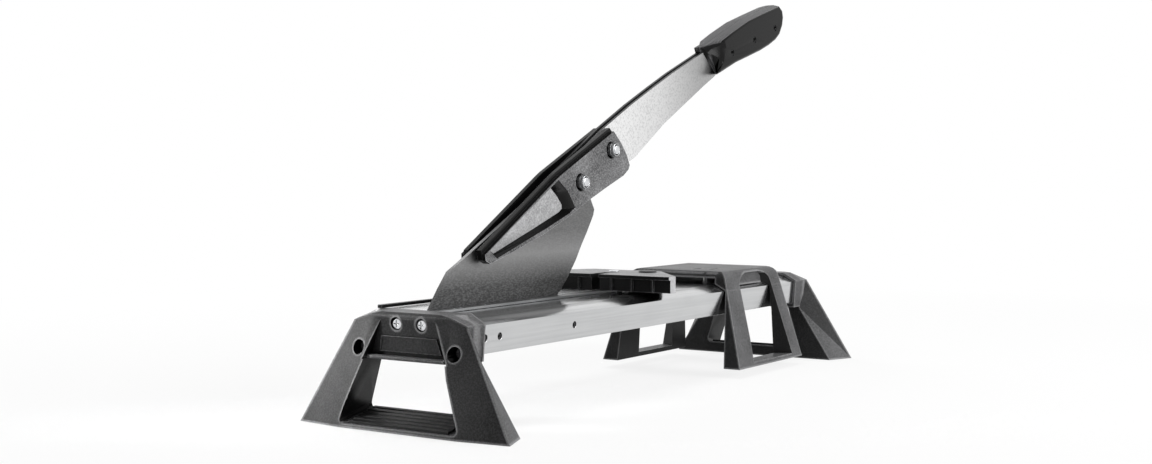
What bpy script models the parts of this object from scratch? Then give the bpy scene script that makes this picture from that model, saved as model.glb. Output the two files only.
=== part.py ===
"""Laminate cutter: a long-armed guillotine on an aluminium beam, with an angle fence and a plank bench.

X runs along the beam from the front stand to the rear one, Z is up, and the near side is -Y.
"""

import math

import bmesh
import bpy
from mathutils import Matrix, Vector

# Fits that all pieces share
FIT = 0.0003
OVERRUN = 0.006
NEAR = -1.0
FAR = -NEAR
ROUND_STEPS = 20
SMALL_STEPS = 14
CORNER_STEPS = 4
MITRE_SHARE = 0.4
SHARP_ANGLE = math.radians(35)

# Stands: moulded feet that close both ends of the beam
BASE_LENGTH = 0.627
STAND_LIFT = 0.0003
STAND_FOOT_HALF = 0.104
STAND_DEPTH = 0.030
STAND_LEAN_SHARE = 0.1476
STAND_BULGE_FOOT = 0.0060
STAND_BULGE_TOP = 0.0028
STAND_LEG_SHARES = ((1.0, 0.0), (0.688, 0.622))
STAND_CROWN_SHARES = ((1.008, 0.911), (0.732, 0.967), (0.535, 0.993))
STAND_BACK_SHARE = 0.885
STAND_WAIST_SHARE = 0.594
COLLAR_WALL = 0.0028
COLLAR_FLOOR = 0.0050
FRONT_COLLAR_RIM = 0.0314
REAR_COLLAR_RIM = 0.045
LEG_FOOT = 0.045
WINDOW_FOOT_HALF = STAND_FOOT_HALF - LEG_FOOT
WINDOW_HEAD_HALF = 0.0400
WINDOW_DRAW_FOOT = 0.0034
WINDOW_SPREAD_HEAD = 0.0030
WINDOW_SILL = 0.0048
WINDOW_SILL_RISE = 0.0072
WINDOW_HEAD = 0.0543
WINDOW_CORNER = 0.006
RIDGE_INSET = 0.001
RIDGE_FOOT_HALF = WINDOW_FOOT_HALF - RIDGE_INSET
RIDGE_KNEE_HALF = 0.042
RIDGE_KNEE = 0.057
RIDGE_TOP_HALF = 0.0253
RIDGE_TOP = 0.0893
LIP_RADIUS = 0.0019
LIP_HALF = 0.0365
SHELF_HALF = 0.0410
SHELF_TOP = 0.0574
PANEL_HEAD = 0.086
PANEL_BACK = 0.0150

# Treads and pads of the stands
TREAD_SIDE_GAP = 0.0060
TREAD_THICK = 0.0012
TREAD_RIB_HEIGHT = 0.0007
TREAD_INSET = 0.0016
TREAD_RIBS = 6
PAD_THICK = 0.0026
PAD_INSET = 0.004

# Bare plate on the front panel
PLATE_TOP = 0.073
PLATE_FOOT = 0.0606
PLATE_TOP_HALF = 0.0274
PLATE_FOOT_HALF = 0.0306
PLATE_THICK = 0.0013
PLATE_FRAME = 0.0014
PLATE_SINK = 0.0005

# Beam: an open-bottomed aluminium section
BEAM_INSET = 0.020
BEAM_BOTTOM = 0.061
BEAM_FOOT_HALF = 0.054
BEAM_HALF = 0.056
BEAM_SHOULDER = 0.0834
BEAM_TOP_HALF = 0.044
BEAM_TOP = 0.0894
BEAM_WALL = 0.0025
BEAM_SLOT_HALF = 0.0045
BEAM_SLOT_START = 0.027
BEAM_SLOT_END = 0.302
CORNER_BOSS_WIDE = 0.0082
CORNER_BOSS_HIGH = 0.0060
TOP_BOSS_WIDE = 0.0080
TOP_BOSS_HIGH = 0.0070
END_BORE_DEPTH = 0.020

# Screws that hold the stands to the beam's bosses
PANEL_SCREW_SIDE = 0.0123
PANEL_SCREW_HEIGHT = 0.0828
PANEL_SCREW_RADIUS = 0.0019
PANEL_HEAD_RADIUS = 0.0044
PANEL_HEAD_THICK = 0.0019
PANEL_SEAT = 0.0129
DEEP_SCREW_SIDE = 0.0474
DEEP_SCREW_HEIGHT = 0.0630
DEEP_SCREW_RADIUS = 0.0013
DEEP_HEAD_RADIUS = 0.0045
DEEP_HEAD_THICK = 0.0025
DEEP_HOLE_RADIUS = 0.0060
DEEP_SEAT_WALL = 0.0036
HEAD_CROSS_WIDE = 0.0009
HEAD_CROSS_DEPTH = 0.0009
HEAD_CROSS_SHARE = 0.62
HEAD_CROSS_DEPTH_SHARE = 0.6
HEAD_FACE_SHARE = 0.72

# Cutting table on top of the beam
TABLE_THICK = 0.0021
TABLE_START = 0.032
TABLE_END = 0.300
TABLE_SLOT_HALF = 0.0018
COUNTER_BLADE_EDGE = 0.0100
TABLE_PLATE_EDGE = 0.0435
COUNTER_SCREW_SIDE = 0.0068
COUNTER_SCREW_SHARES = (0.112, 0.142, 0.265, 0.515)
PLATE_SCREW_SIDE = 0.030
PLATE_SCREW_SHARES = (0.15, 0.80)
TABLE_SCREW_RADIUS = 0.0012
TABLE_HEAD_RADIUS = 0.0024
TABLE_HEAD_THICK = 0.0010
TABLE_SCREW_LENGTH = 0.0055
RAIL_START = 0.0245
RAIL_HIGH = 0.0027
RAIL_WIDE = 0.0045
RAIL_EDGE_GAP = 0.0004
RAIL_FENCE_GAP = 0.007

# Pivot of the cutting arm and the blocks that carry it
PIVOT_X = 0.060
PIVOT_Z = 0.072
PIVOT_RADIUS = 0.0040
PIVOT_HEAD_RADIUS = 0.0065
PIVOT_HEAD_THICK = 0.0060
PIVOT_NUT_FLATS = 0.0130
PIVOT_NUT_THICK = 0.0065
BUSH_RADIUS = 0.0100
BUSH_OUTER = 0.0080
BLOCK_BOTTOM = 0.0622
BLOCK_TOP = 0.0782
BLOCK_SIDE_GAP = 0.0004
PIVOT_BLOCK_START = 0.030
PIVOT_BLOCK_END = 0.090
PIVOT_SEAT = 0.0200
GUIDE_BLOCK_START = 0.150
GUIDE_BLOCK_END = 0.170
GUIDE_SLOT_HALF = 0.0021
SIDE_SCREW_X = (0.0358, 0.0547, 0.1597)
SIDE_SCREW_HEIGHT = 0.0732
SIDE_SCREW_RADIUS = 0.0026
SIDE_SCREW_OUTER = 0.0540
SIDE_SCREW_LENGTH = 0.0110
SIDE_SCREW_SOCKET = 0.0030

# Cutting arm: outlines are shares of its reach and rise from the pivot
ARM_REACH = 0.600
ARM_RISE = 0.300
BLADE_HALF = 0.0015
BLADE_HEEL_RADIUS = 0.010
BLADE_SHARES = (
    (-0.048, 0.049), (-0.046, 0.058), (-0.042, 0.065), (-0.021, 0.118), (-0.001, 0.163),
    (0.022, 0.185), (0.067, 0.230), (0.217, 0.383), (0.300, 0.447), (0.330, 0.433),
    (0.337, 0.400), (0.345, 0.348), (0.356, 0.314), (0.353, 0.296), (0.336, 0.248),
    (0.319, 0.205), (0.305, 0.165), (0.280, 0.109), (0.256, 0.067), (0.217, 0.020),
    (0.175, -0.007), (0.125, -0.020), (0.067, -0.028),
)
RIVET_SHARE = (0.117, 0.250)
RIVET_RADIUS = 0.0030
PLATE_INNER = 0.0018
PLATE_OUTER = 0.0044
LEVER_SHARES = (
    (0.058, 0.195), (0.080, 0.197), (0.117, 0.215), (0.190, 0.258), (0.268, 0.317),
    (0.308, 0.352), (0.365, 0.393), (0.410, 0.427), (0.425, 0.442), (0.468, 0.475),
    (0.559, 0.585), (0.694, 0.721), (0.733, 0.758), (0.753, 0.787), (0.883, 0.872),
    (0.900, 0.893), (0.903, 0.933), (0.893, 0.952), (0.833, 0.920), (0.733, 0.862),
    (0.687, 0.831), (0.588, 0.754), (0.525, 0.700), (0.457, 0.640), (0.376, 0.562),
    (0.227, 0.395), (0.065, 0.207),
)
SPACER_SHARES = (
    (0.354, 0.427), (0.377, 0.413), (0.405, 0.457), (0.690, 0.747), (0.683, 0.787), (0.367, 0.520),
)
CARRIER_INNER = 0.0047
CARRIER_OUTER = 0.0125
CARRIER_SHARES = (
    (0.067, 0.178), (0.081, 0.186), (0.116, 0.204), (0.191, 0.248), (0.270, 0.306),
    (0.308, 0.340), (0.323, 0.351), (0.365, 0.383), (0.411, 0.416), (0.426, 0.435),
    (0.430, 0.449), (0.420, 0.483), (0.404, 0.518), (0.383, 0.552), (0.237, 0.418),
    (0.225, 0.405), (0.055, 0.205), (0.056, 0.188),
)
CARRIER_STEP = 0.0088
CARRIER_CREST_SHARE = (-0.0025, 0.0105)
CARRIER_CREST_FIRST = 12
CARRIER_CREST_LAST = 16
POCKET_FLOOR = 0.0062
POCKET_RIM_SHARES = (
    (0.064, 0.214), (0.081, 0.191), (0.191, 0.260), (0.265, 0.310), (0.276, 0.322), (0.271, 0.338),
    (0.257, 0.372), (0.232, 0.406),
)
POCKET_FLOOR_SHARES = (
    (0.078, 0.213), (0.087, 0.203), (0.188, 0.269), (0.245, 0.308), (0.256, 0.320), (0.255, 0.333),
    (0.243, 0.357), (0.226, 0.383),
)
ARM_BOLT_SHARES = ((0.2905, 0.398), (0.3755, 0.495))
ARM_BOLT_RADIUS = 0.0040
ARM_NUT_FLATS = 0.0130
ARM_NUT_THICK = 0.0050
ARM_RECESS_RADIUS = 0.0080
ARM_RECESS_FLOOR = 0.0105
ARM_COLLAR_RADIUS = 0.0056
ARM_COLLAR_THICK = 0.0027
ARM_BOLT_END = 0.0192

# Handle: two half shells round the lever's tail
HANDLE_SEAM = 0.0002
HANDLE_HALF = 0.0145
HANDLE_WIDTH_SHARES = ((0.0, 0.0), (0.30, 0.03), (0.62, 0.40), (0.86, 0.72), (1.0, 1.0))
HANDLE_CROWN_SHARES = (
    (0.735, 0.765), (0.752, 0.772), (0.784, 0.800), (0.834, 0.829), (0.884, 0.857), (0.920, 0.881),
    (0.950, 0.905), (0.970, 0.930), (0.982, 0.965), (0.986, 1.000), (0.981, 1.026), (0.960, 1.044),
    (0.898, 1.006), (0.836, 0.968), (0.779, 0.922), (0.723, 0.876), (0.684, 0.850), (0.690, 0.830),
)
HANDLE_SIDE_SHARES = (
    (0.708, 0.760), (0.726, 0.774), (0.780, 0.812), (0.830, 0.840), (0.878, 0.868), (0.912, 0.892),
    (0.938, 0.915), (0.954, 0.937), (0.965, 0.970), (0.968, 0.998), (0.965, 1.020), (0.953, 1.034),
    (0.890, 0.997), (0.829, 0.960), (0.771, 0.913), (0.735, 0.880), (0.741, 0.855), (0.737, 0.812),
)
HANDLE_SCREW_SHARES = ((0.767, 0.841), (0.852, 0.898), (0.934, 0.953))
HANDLE_SCREW_RADIUS = 0.0016
HANDLE_HEAD_RADIUS = 0.0030
HANDLE_HEAD_THICK = 0.0020
HANDLE_SEAT = 0.0078
HANDLE_BORE_END = 0.0105

# Fence that swivels about a screw behind the slot
FENCE_FRONT = 0.2757
FENCE_HALF = 0.079
FENCE_BAR = 0.012
FENCE_BACK = 0.340
FENCE_BACK_NEAR = 0.034
FENCE_BACK_FAR = 0.040
FENCE_TOP = 0.107
FENCE_FLANGE = 0.0032
FENCE_OVERHANG = 0.0027
FENCE_WALL = 0.0030
FENCE_SLOT_HALF = 0.0044
FENCE_SLOT_END = 0.300
FENCE_RIB = 0.0018
FENCE_RIB_PITCH = 0.0218
FENCE_RIB_FIRST = 0.0175
FENCE_RIBS = 3
FENCE_PIVOT_X = 0.3105
FENCE_HUB_RADIUS = 0.0078
FENCE_SCREW_RADIUS = 0.0025
FENCE_HEAD_RADIUS = 0.0048
FENCE_HEAD_THICK = 0.0014
DISC_X = 0.323
DISC_SIDE = 0.029
DISC_RADIUS = 0.0085
DISC_THICK = 0.0012
DISC_FACE_SHARE = 0.8
DISC_PEG_RADIUS = 0.0020

# Bench: a moulded plank support that straddles the beam, ahead of the rear stand
BENCH_FOOT = 0.0086
BENCH_TOP = 0.1025
BENCH_REAR_GAP = 0.0704
BENCH_LENGTH = 0.1416
BENCH_LEAN = 0.0130
BENCH_FOOT_BACK = BASE_LENGTH - BENCH_REAR_GAP
BENCH_FOOT_FRONT = BENCH_FOOT_BACK - BENCH_LENGTH
BENCH_TOP_FRONT = BENCH_FOOT_FRONT + BENCH_LEAN
BENCH_TOP_BACK = BENCH_FOOT_BACK - BENCH_LEAN
BENCH_FOOT_HALF = 0.0784
BENCH_TOP_HALF = 0.0536
BENCH_ROUND = 0.008
BENCH_SKIN = 0.0030
BENCH_INNER_FOOT_HALF = 0.0610
BENCH_SIDE_GAP = 0.0007
BENCH_ARCH = 0.0956
BENCH_BAR = 0.0045
BENCH_FRONT_POST_FOOT = 0.0310
BENCH_FRONT_POST_HEAD = 0.0360
BENCH_BACK_POST_FOOT = 0.0196
BENCH_BACK_POST_HEAD = 0.0296
BENCH_WINDOW_SPRING = 0.0885
BENCH_WINDOW_CROWN = 0.0990
BENCH_FLARE = 0.012
BENCH_ARCH_SHARES = ((0.05, 0.45), (0.14, 0.80), (0.28, 1.0), (0.80, 1.0), (0.92, 0.80), (0.98, 0.45))
BENCH_RUNNER_SIDE = 0.030
BENCH_RUNNER_WIDE = 0.003
BENCH_RIB_SHARES = (0.33, 0.67)
BENCH_GRIP_LONG = 0.022
BENCH_GRIP_WIDE = 0.006
BENCH_GRIP_DEPTH = 0.0016
BENCH_GRIP_STEPS = 12
BENCH_GRIP_PLACES = ((0.042, 0.008), (0.045, 0.025))


def clear_scene():
    for obj in list(bpy.data.objects):
        bpy.data.objects.remove(obj, do_unlink=True)


def material(name, colour, roughness, metallic=0.0):
    made = bpy.data.materials.new(name)
    made.use_nodes = True
    shader = made.node_tree.nodes["Principled BSDF"]
    shader.inputs["Base Color"].default_value = (*colour, 1.0)
    shader.inputs["Roughness"].default_value = roughness
    shader.inputs["Metallic"].default_value = metallic
    return made


def empty(name, location=(0.0, 0.0, 0.0), turn=0.0, parent=None):
    made = bpy.data.objects.new(name, None)
    bpy.context.collection.objects.link(made)
    made.location = location
    made.rotation_euler = (0.0, 0.0, turn)
    made.parent = parent
    return made


def placed(axis, u, v, w):
    """A point with w along the axis and (u, v) across it: (y, z), (x, z) or (x, y)."""
    if axis == "X":
        return Vector((w, u, v))
    if axis == "Y":
        return Vector((u, w, v))
    return Vector((u, v, w))


def loft(rings):
    """A closed solid through rings of equally many points, with a flat cap at each end."""
    bm = bmesh.new()
    loops = [[bm.verts.new(point) for point in ring] for ring in rings]
    for first, second in zip(loops, loops[1:]):
        for i in range(len(first)):
            j = (i + 1) % len(first)
            bm.faces.new((first[i], first[j], second[j], second[i]))
    bm.faces.new(loops[0])
    bm.faces.new(loops[-1])
    bmesh.ops.recalc_face_normals(bm, faces=bm.faces)
    return bm


def prism(axis, outline, start, end):
    return loft([[placed(axis, u, v, w) for u, v in outline] for w in (start, end)])


def box(x0, x1, y0, y1, z0, z1):
    return prism("Z", ((x0, y0), (x1, y0), (x1, y1), (x0, y1)), z0, z1)


def circle(u, v, radius, steps=ROUND_STEPS):
    turns = [math.tau * (i + 0.5) / steps for i in range(steps)]
    return [(u + radius * math.cos(a), v + radius * math.sin(a)) for a in turns]


def rod(axis, u, v, radius, start, end, steps=ROUND_STEPS):
    return prism(axis, circle(u, v, radius, steps), start, end)


def hexagon(u, v, flats):
    return circle(u, v, flats / math.sqrt(3), 6)


def turned(profile, steps=ROUND_STEPS):
    """A solid of revolution about Z from (radius, height) points that start and end on the axis."""
    bm = bmesh.new()
    verts = [bm.verts.new((radius, 0.0, height)) for radius, height in profile]
    edges = [bm.edges.new(pair) for pair in zip(verts, verts[1:])]
    bmesh.ops.spin(bm, geom=verts + edges, cent=(0, 0, 0), axis=(0, 0, 1), angle=math.tau, steps=steps)
    bmesh.ops.remove_doubles(bm, verts=bm.verts, dist=FIT / 10)
    bmesh.ops.recalc_face_normals(bm, faces=bm.faces)
    return bm


def grown(outline, margin):
    """The outline moved outwards by margin along the bisector of each corner."""
    area = sum(a[0] * b[1] - b[0] * a[1] for a, b in zip(outline, outline[1:] + outline[:1]))
    way = 1.0 if area > 0 else -1.0
    moved = []
    for i, point in enumerate(outline):
        before = Vector(point) - Vector(outline[i - 1])
        after = Vector(outline[(i + 1) % len(outline)]) - Vector(point)
        normals = [Vector((edge.y, -edge.x)).normalized() * way for edge in (before, after)]
        middle = (normals[0] + normals[1]).normalized()
        moved.append(tuple(Vector(point) + middle * margin / max(middle.dot(normals[0]), MITRE_SHARE)))
    return moved


def rounded(outline, radius, count):
    """The outline with its first count corners replaced by arcs that start one radius before them."""
    points = []
    for i, corner in enumerate(outline[:count]):
        corner = Vector(corner)
        back = (Vector(outline[i - 1]) - corner).normalized() * radius
        ahead = (Vector(outline[(i + 1) % len(outline)]) - corner).normalized() * radius
        for step in range(CORNER_STEPS + 1):
            t = step / CORNER_STEPS
            points.append(tuple(corner + back * (1 - t) ** 2 + ahead * t**2))
    return points + list(outline[count:])


def mirrored(half):
    """A half outline from the mid-plane round to the mid-plane again, closed by its mirror image."""
    return list(half) + [(-u, v) for u, v in reversed(half) if u != 0]


def solid(name, bm, finish, parent, location=(0.0, 0.0, 0.0), rotation=(0.0, 0.0, 0.0)):
    mesh = bpy.data.meshes.new(name)
    bm.to_mesh(mesh)
    bm.free()
    mesh.materials.append(finish)
    mesh.shade_smooth()
    mesh.set_sharp_from_angle(angle=SHARP_ANGLE)
    made = bpy.data.objects.new(name, mesh)
    bpy.context.collection.objects.link(made)
    made.parent = parent
    made.location = location
    made.rotation_euler = rotation
    return made


def combine(target, bm, operation):
    mesh = bpy.data.meshes.new(f"{target.name}_tool")
    bm.to_mesh(mesh)
    bm.free()
    tool = bpy.data.objects.new(f"{target.name}_tool", mesh)
    bpy.context.collection.objects.link(tool)
    tool.parent = target
    tool.hide_render = True
    tool.display_type = "WIRE"
    modifier = target.modifiers.new(operation.title(), "BOOLEAN")
    modifier.operation = operation
    modifier.solver = "EXACT"
    modifier.object = tool


def cut(target, *tools):
    for bm in tools:
        combine(target, bm, "DIFFERENCE")


def join(target, *parts):
    for bm in parts:
        combine(target, bm, "UNION")


# Beam sections that the stands, blocks and bench follow
def beam_shell(gap):
    """The beam's outer section as a half outline, moved outwards by gap."""
    return (
        (0.0, BEAM_TOP + gap),
        (BEAM_TOP_HALF + gap / 2, BEAM_TOP + gap),
        (BEAM_HALF + gap, BEAM_SHOULDER + gap / 2),
        (BEAM_FOOT_HALF + gap, BEAM_BOTTOM - gap),
        (0.0, BEAM_BOTTOM - gap),
    )


def beam_inner_side(height):
    """Half width between the beam's side walls at a height."""
    lean = (BEAM_HALF - BEAM_FOOT_HALF) / (BEAM_SHOULDER - BEAM_BOTTOM)
    return BEAM_FOOT_HALF - BEAM_WALL + (height - BEAM_BOTTOM) * lean


def corner_boss_inner():
    return DEEP_SCREW_SIDE - CORNER_BOSS_WIDE / 2


def top_boss_sides():
    return PANEL_SCREW_SIDE - TOP_BOSS_WIDE / 2, PANEL_SCREW_SIDE + TOP_BOSS_WIDE / 2


# Stands
def edge_x(height):
    """X of the leaning outer edge of the front face at a height."""
    return STAND_LEAN_SHARE * height


def face_x(height):
    """X of the middle of the front face, which stands forward of its outer edge."""
    return edge_x(height) - STAND_BULGE_FOOT + (STAND_BULGE_FOOT - STAND_BULGE_TOP) * height / RIDGE_TOP


def panel_x(height):
    """X of the panel above the window, which falls back from its head to the shelf."""
    share = (PANEL_HEAD - height) / (PANEL_HEAD - WINDOW_HEAD)
    return face_x(PANEL_HEAD) + (PANEL_BACK - face_x(PANEL_HEAD)) * share


def stand_height(share):
    """Height at a share of the stand's rise from its foot to its crown."""
    return STAND_LIFT + (BEAM_TOP + COLLAR_WALL - STAND_LIFT) * share


def foot_half(x):
    """Half width of the foot, which is narrower at the back."""
    return STAND_FOOT_HALF * (1 - (1 - STAND_BACK_SHARE) * x / STAND_DEPTH)


def back_half(height):
    """Half width of the back of a leg, between its foot and its waist under the beam."""
    share = (height - STAND_LIFT) / (stand_height(STAND_WAIST_SHARE) - STAND_LIFT)
    return foot_half(STAND_DEPTH) + (BEAM_HALF - foot_half(STAND_DEPTH)) * share


def ring_at(outline, depth):
    return [Vector((depth(h), y, h)) for y, h in outline]


def stand_body():
    shell = beam_shell(COLLAR_WALL)
    edge = [(u * STAND_FOOT_HALF, stand_height(v)) for u, v in STAND_LEG_SHARES]
    edge += [(u * BEAM_HALF, stand_height(v)) for u, v in STAND_CROWN_SHARES]
    ridge = ((RIDGE_FOOT_HALF, STAND_LIFT), (RIDGE_KNEE_HALF, RIDGE_KNEE), (RIDGE_TOP_HALF, RIDGE_TOP))
    waist = stand_height(STAND_WAIST_SHARE)
    back = [(back_half(STAND_LIFT), STAND_LIFT), (back_half(waist), waist), shell[2], shell[1]]
    bm = bmesh.new()
    sides = []
    for side in (FAR, NEAR):
        e = [bm.verts.new((edge_x(h), side * y, h)) for y, h in edge]
        r = [bm.verts.new((face_x(h), side * y, h)) for y, h in ridge]
        b = [bm.verts.new((STAND_DEPTH, side * y, h)) for y, h in back]
        sides.append((e, r, b))
        for corners in (
            (e[0], e[1], b[1]), (e[0], b[1], b[0]), (e[1], e[2], b[1]), (e[2], b[2], b[1]),
            (e[2], e[3], b[3]), (e[2], b[3], b[2]), (e[3], e[4], b[3]),
            (e[0], e[1], r[1]), (e[0], r[1], r[0]), (e[1], e[2], r[1]), (e[2], e[3], r[1]),
            (e[3], r[2], r[1]), (e[3], e[4], r[2]),
        ):
            bm.faces.new(corners)
    (e, r, b), (e2, r2, b2) = sides
    bm.faces.new(r + r2[::-1])
    bm.faces.new((r[2], r2[2], e2[4], e[4]))
    bm.faces.new(b + b2[::-1])
    bm.faces.new((e[4], e2[4], b2[3], b[3]))
    bm.faces.new((e[0], r[0], r2[0], e2[0], b2[0], b[0]))
    bmesh.ops.recalc_face_normals(bm, faces=bm.faces)
    return bm


def collar(rim):
    shell = list(beam_shell(COLLAR_WALL))
    shell[3] = (shell[3][0], BEAM_BOTTOM - COLLAR_FLOOR)
    shell[4] = (0.0, BEAM_BOTTOM - COLLAR_FLOOR)
    return prism("X", mirrored(shell), STAND_DEPTH - FIT, rim)


def sill_height(x):
    return WINDOW_SILL + WINDOW_SILL_RISE * x / STAND_DEPTH


def window_foot_half(x):
    return WINDOW_FOOT_HALF - WINDOW_DRAW_FOOT * x / STAND_DEPTH


def window(front, back):
    """The foot opening: a rising sill with round corners, and jambs that draw in or spread to the back."""
    def section(x):
        foot = window_foot_half(x)
        head = WINDOW_HEAD_HALF + WINDOW_SPREAD_HEAD * x / STAND_DEPTH
        sill = sill_height(x)
        corners = ((-foot, sill), (foot, sill), (head, WINDOW_HEAD), (-head, WINDOW_HEAD))
        return [Vector((x, y, h)) for y, h in rounded(corners, WINDOW_CORNER, 2)]

    return loft([section(front), section(back)])


def panel_cut():
    """The wedge in front of the panel, between the two legs."""
    reach = (RIDGE_TOP - PANEL_HEAD) / (RIDGE_TOP - RIDGE_KNEE)
    head = RIDGE_TOP_HALF + (RIDGE_KNEE_HALF - RIDGE_TOP_HALF) * reach
    foot = WINDOW_HEAD - FIT
    outline = [(-head, PANEL_HEAD), (head, PANEL_HEAD), (RIDGE_KNEE_HALF, foot), (-RIDGE_KNEE_HALF, foot)]
    return loft([ring_at(outline, lambda h: face_x(h) - OVERRUN), ring_at(outline, panel_x)])


def stand(name, parent, rim, finish):
    made = solid(name, stand_body(), finish, parent)
    join(made, collar(rim))
    cut(made, prism("X", mirrored(beam_shell(FIT)), BEAM_INSET - FIT, rim + OVERRUN))
    cut(made, window(-STAND_BULGE_FOOT - OVERRUN, STAND_DEPTH + OVERRUN), panel_cut())
    lip_height = WINDOW_HEAD + LIP_RADIUS
    lip_x = edge_x(lip_height) + LIP_RADIUS / 2
    shelf_back = STAND_DEPTH - OVERRUN
    join(made, box(lip_x, shelf_back, -SHELF_HALF, SHELF_HALF, WINDOW_HEAD + FIT, SHELF_TOP))
    join(made, rod("Y", lip_x, lip_height, LIP_RADIUS, -LIP_HALF, LIP_HALF, SMALL_STEPS))
    cut(made, prism("Z", pad_plan(FIT), -OVERRUN, PAD_THICK + FIT))
    for side in (NEAR, FAR):
        y, h = side * PANEL_SCREW_SIDE, PANEL_SCREW_HEIGHT
        cut(
            made,
            rod("X", y, h, PANEL_HEAD_RADIUS + FIT * 3, 0.0, PANEL_SEAT),
            rod("X", y, h, PANEL_SCREW_RADIUS + FIT, 0.0, BEAM_INSET + OVERRUN, SMALL_STEPS),
        )
        y, h = side * DEEP_SCREW_SIDE, DEEP_SCREW_HEIGHT
        cut(
            made,
            rod("X", y, h, DEEP_HOLE_RADIUS, -OVERRUN, BEAM_INSET - DEEP_SEAT_WALL),
            rod("X", y, h, DEEP_SCREW_RADIUS + FIT, -OVERRUN, BEAM_INSET + OVERRUN, SMALL_STEPS),
        )
    return made


def tread(name, parent, finish):
    """A ribbed strip on the sloping sill, with its ribs along Y."""
    start, end = face_x(WINDOW_SILL) + TREAD_INSET, STAND_DEPTH - TREAD_INSET
    half = window_foot_half(STAND_DEPTH) - TREAD_SIDE_GAP
    bands = TREAD_RIBS * 2 - 1
    edges = [start + (end - start) * i / bands for i in range(bands + 1)]

    def point(x, rise):
        return x, sill_height(x) + FIT + rise

    outline = [point(start, 0.0), point(end, 0.0)]
    for i in range(bands, 0, -1):
        rise = TREAD_THICK + (TREAD_RIB_HEIGHT if i % 2 else 0.0)
        outline += [point(edges[i], rise), point(edges[i - 1], rise)]
    return solid(name, prism("Y", outline, -half, half), finish, parent)


def pad_plan(margin):
    """The pad seen from above, grown by margin."""
    front, back = PAD_INSET - margin, STAND_DEPTH - PAD_INSET + margin
    (y0, y1) = (foot_half(x) - PAD_INSET * 2 + margin for x in (front, back))
    return ((front, -y0), (back, -y1), (back, y1), (front, y0))


def pad(name, parent, finish):
    return solid(name, prism("Z", pad_plan(0.0), 0.0, PAD_THICK), finish, parent)


def badge_plate(name, parent, finish):
    """The bare plate on the front panel, with a raised frame."""
    def ring(inset, lift):
        top_half, foot = PLATE_TOP_HALF - inset, PLATE_FOOT_HALF - inset
        top, low = PLATE_TOP - inset, PLATE_FOOT + inset
        outline = ((-top_half, top), (top_half, top), (foot, low), (-foot, low))
        return ring_at(outline, lambda h: panel_x(h) - lift)

    front = FIT + PLATE_THICK
    made = solid(name, loft([ring(0.0, FIT), ring(0.0, front)]), finish, parent)
    cut(made, loft([ring(PLATE_FRAME, front - PLATE_SINK), ring(PLATE_FRAME, front + OVERRUN)]))
    return made


# Screws
def cross_screw(name, finish, parent, location, rotation, head_radius, head_thick, radius, length):
    """A cross-head screw that points down its own Z, with its seat at the origin."""
    profile = (
        (0.0, head_thick), (head_radius * HEAD_FACE_SHARE, head_thick), (head_radius, head_thick / 2),
        (head_radius, 0.0), (radius, 0.0), (radius, -length), (0.0, -length),
    )
    made = solid(name, turned(profile, SMALL_STEPS), finish, parent, location, rotation)
    half, reach = HEAD_CROSS_WIDE / 2, head_radius * HEAD_CROSS_SHARE
    floor = head_thick - min(HEAD_CROSS_DEPTH, head_thick * HEAD_CROSS_DEPTH_SHARE)
    cut(made, box(-reach, reach, -half, half, floor, head_thick + OVERRUN))
    cut(made, box(-half, half, -reach, reach, floor, head_thick + OVERRUN))
    return made


FACE_FORWARD = (0.0, -math.pi / 2, 0.0)
FACE_NEAR = (math.pi / 2, 0.0, 0.0)
FACE_FAR = (-math.pi / 2, 0.0, 0.0)


def stand_screws(prefix, parent, finish):
    reach = BEAM_INSET + END_BORE_DEPTH - OVERRUN / 2
    for side, label in ((NEAR, "near"), (FAR, "far")):
        place = (PANEL_SEAT - FIT, side * PANEL_SCREW_SIDE, PANEL_SCREW_HEIGHT)
        cross_screw(
            f"{prefix}_panel_screw_{label}", finish, parent, place, FACE_FORWARD,
            PANEL_HEAD_RADIUS, PANEL_HEAD_THICK, PANEL_SCREW_RADIUS, reach - place[0],
        )
        place = (BEAM_INSET - DEEP_SEAT_WALL - FIT, side * DEEP_SCREW_SIDE, DEEP_SCREW_HEIGHT)
        cross_screw(
            f"{prefix}_deep_screw_{label}", finish, parent, place, FACE_FORWARD,
            DEEP_HEAD_RADIUS, DEEP_HEAD_THICK, DEEP_SCREW_RADIUS, reach - place[0],
        )


# Beam
def side_bore(side, x, start):
    """The bore of a side screw, from start out through the beam's side wall."""
    end = side * (BEAM_HALF + OVERRUN)
    return rod("Y", x, SIDE_SCREW_HEIGHT, SIDE_SCREW_RADIUS + FIT, start, end, SMALL_STEPS)


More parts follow.
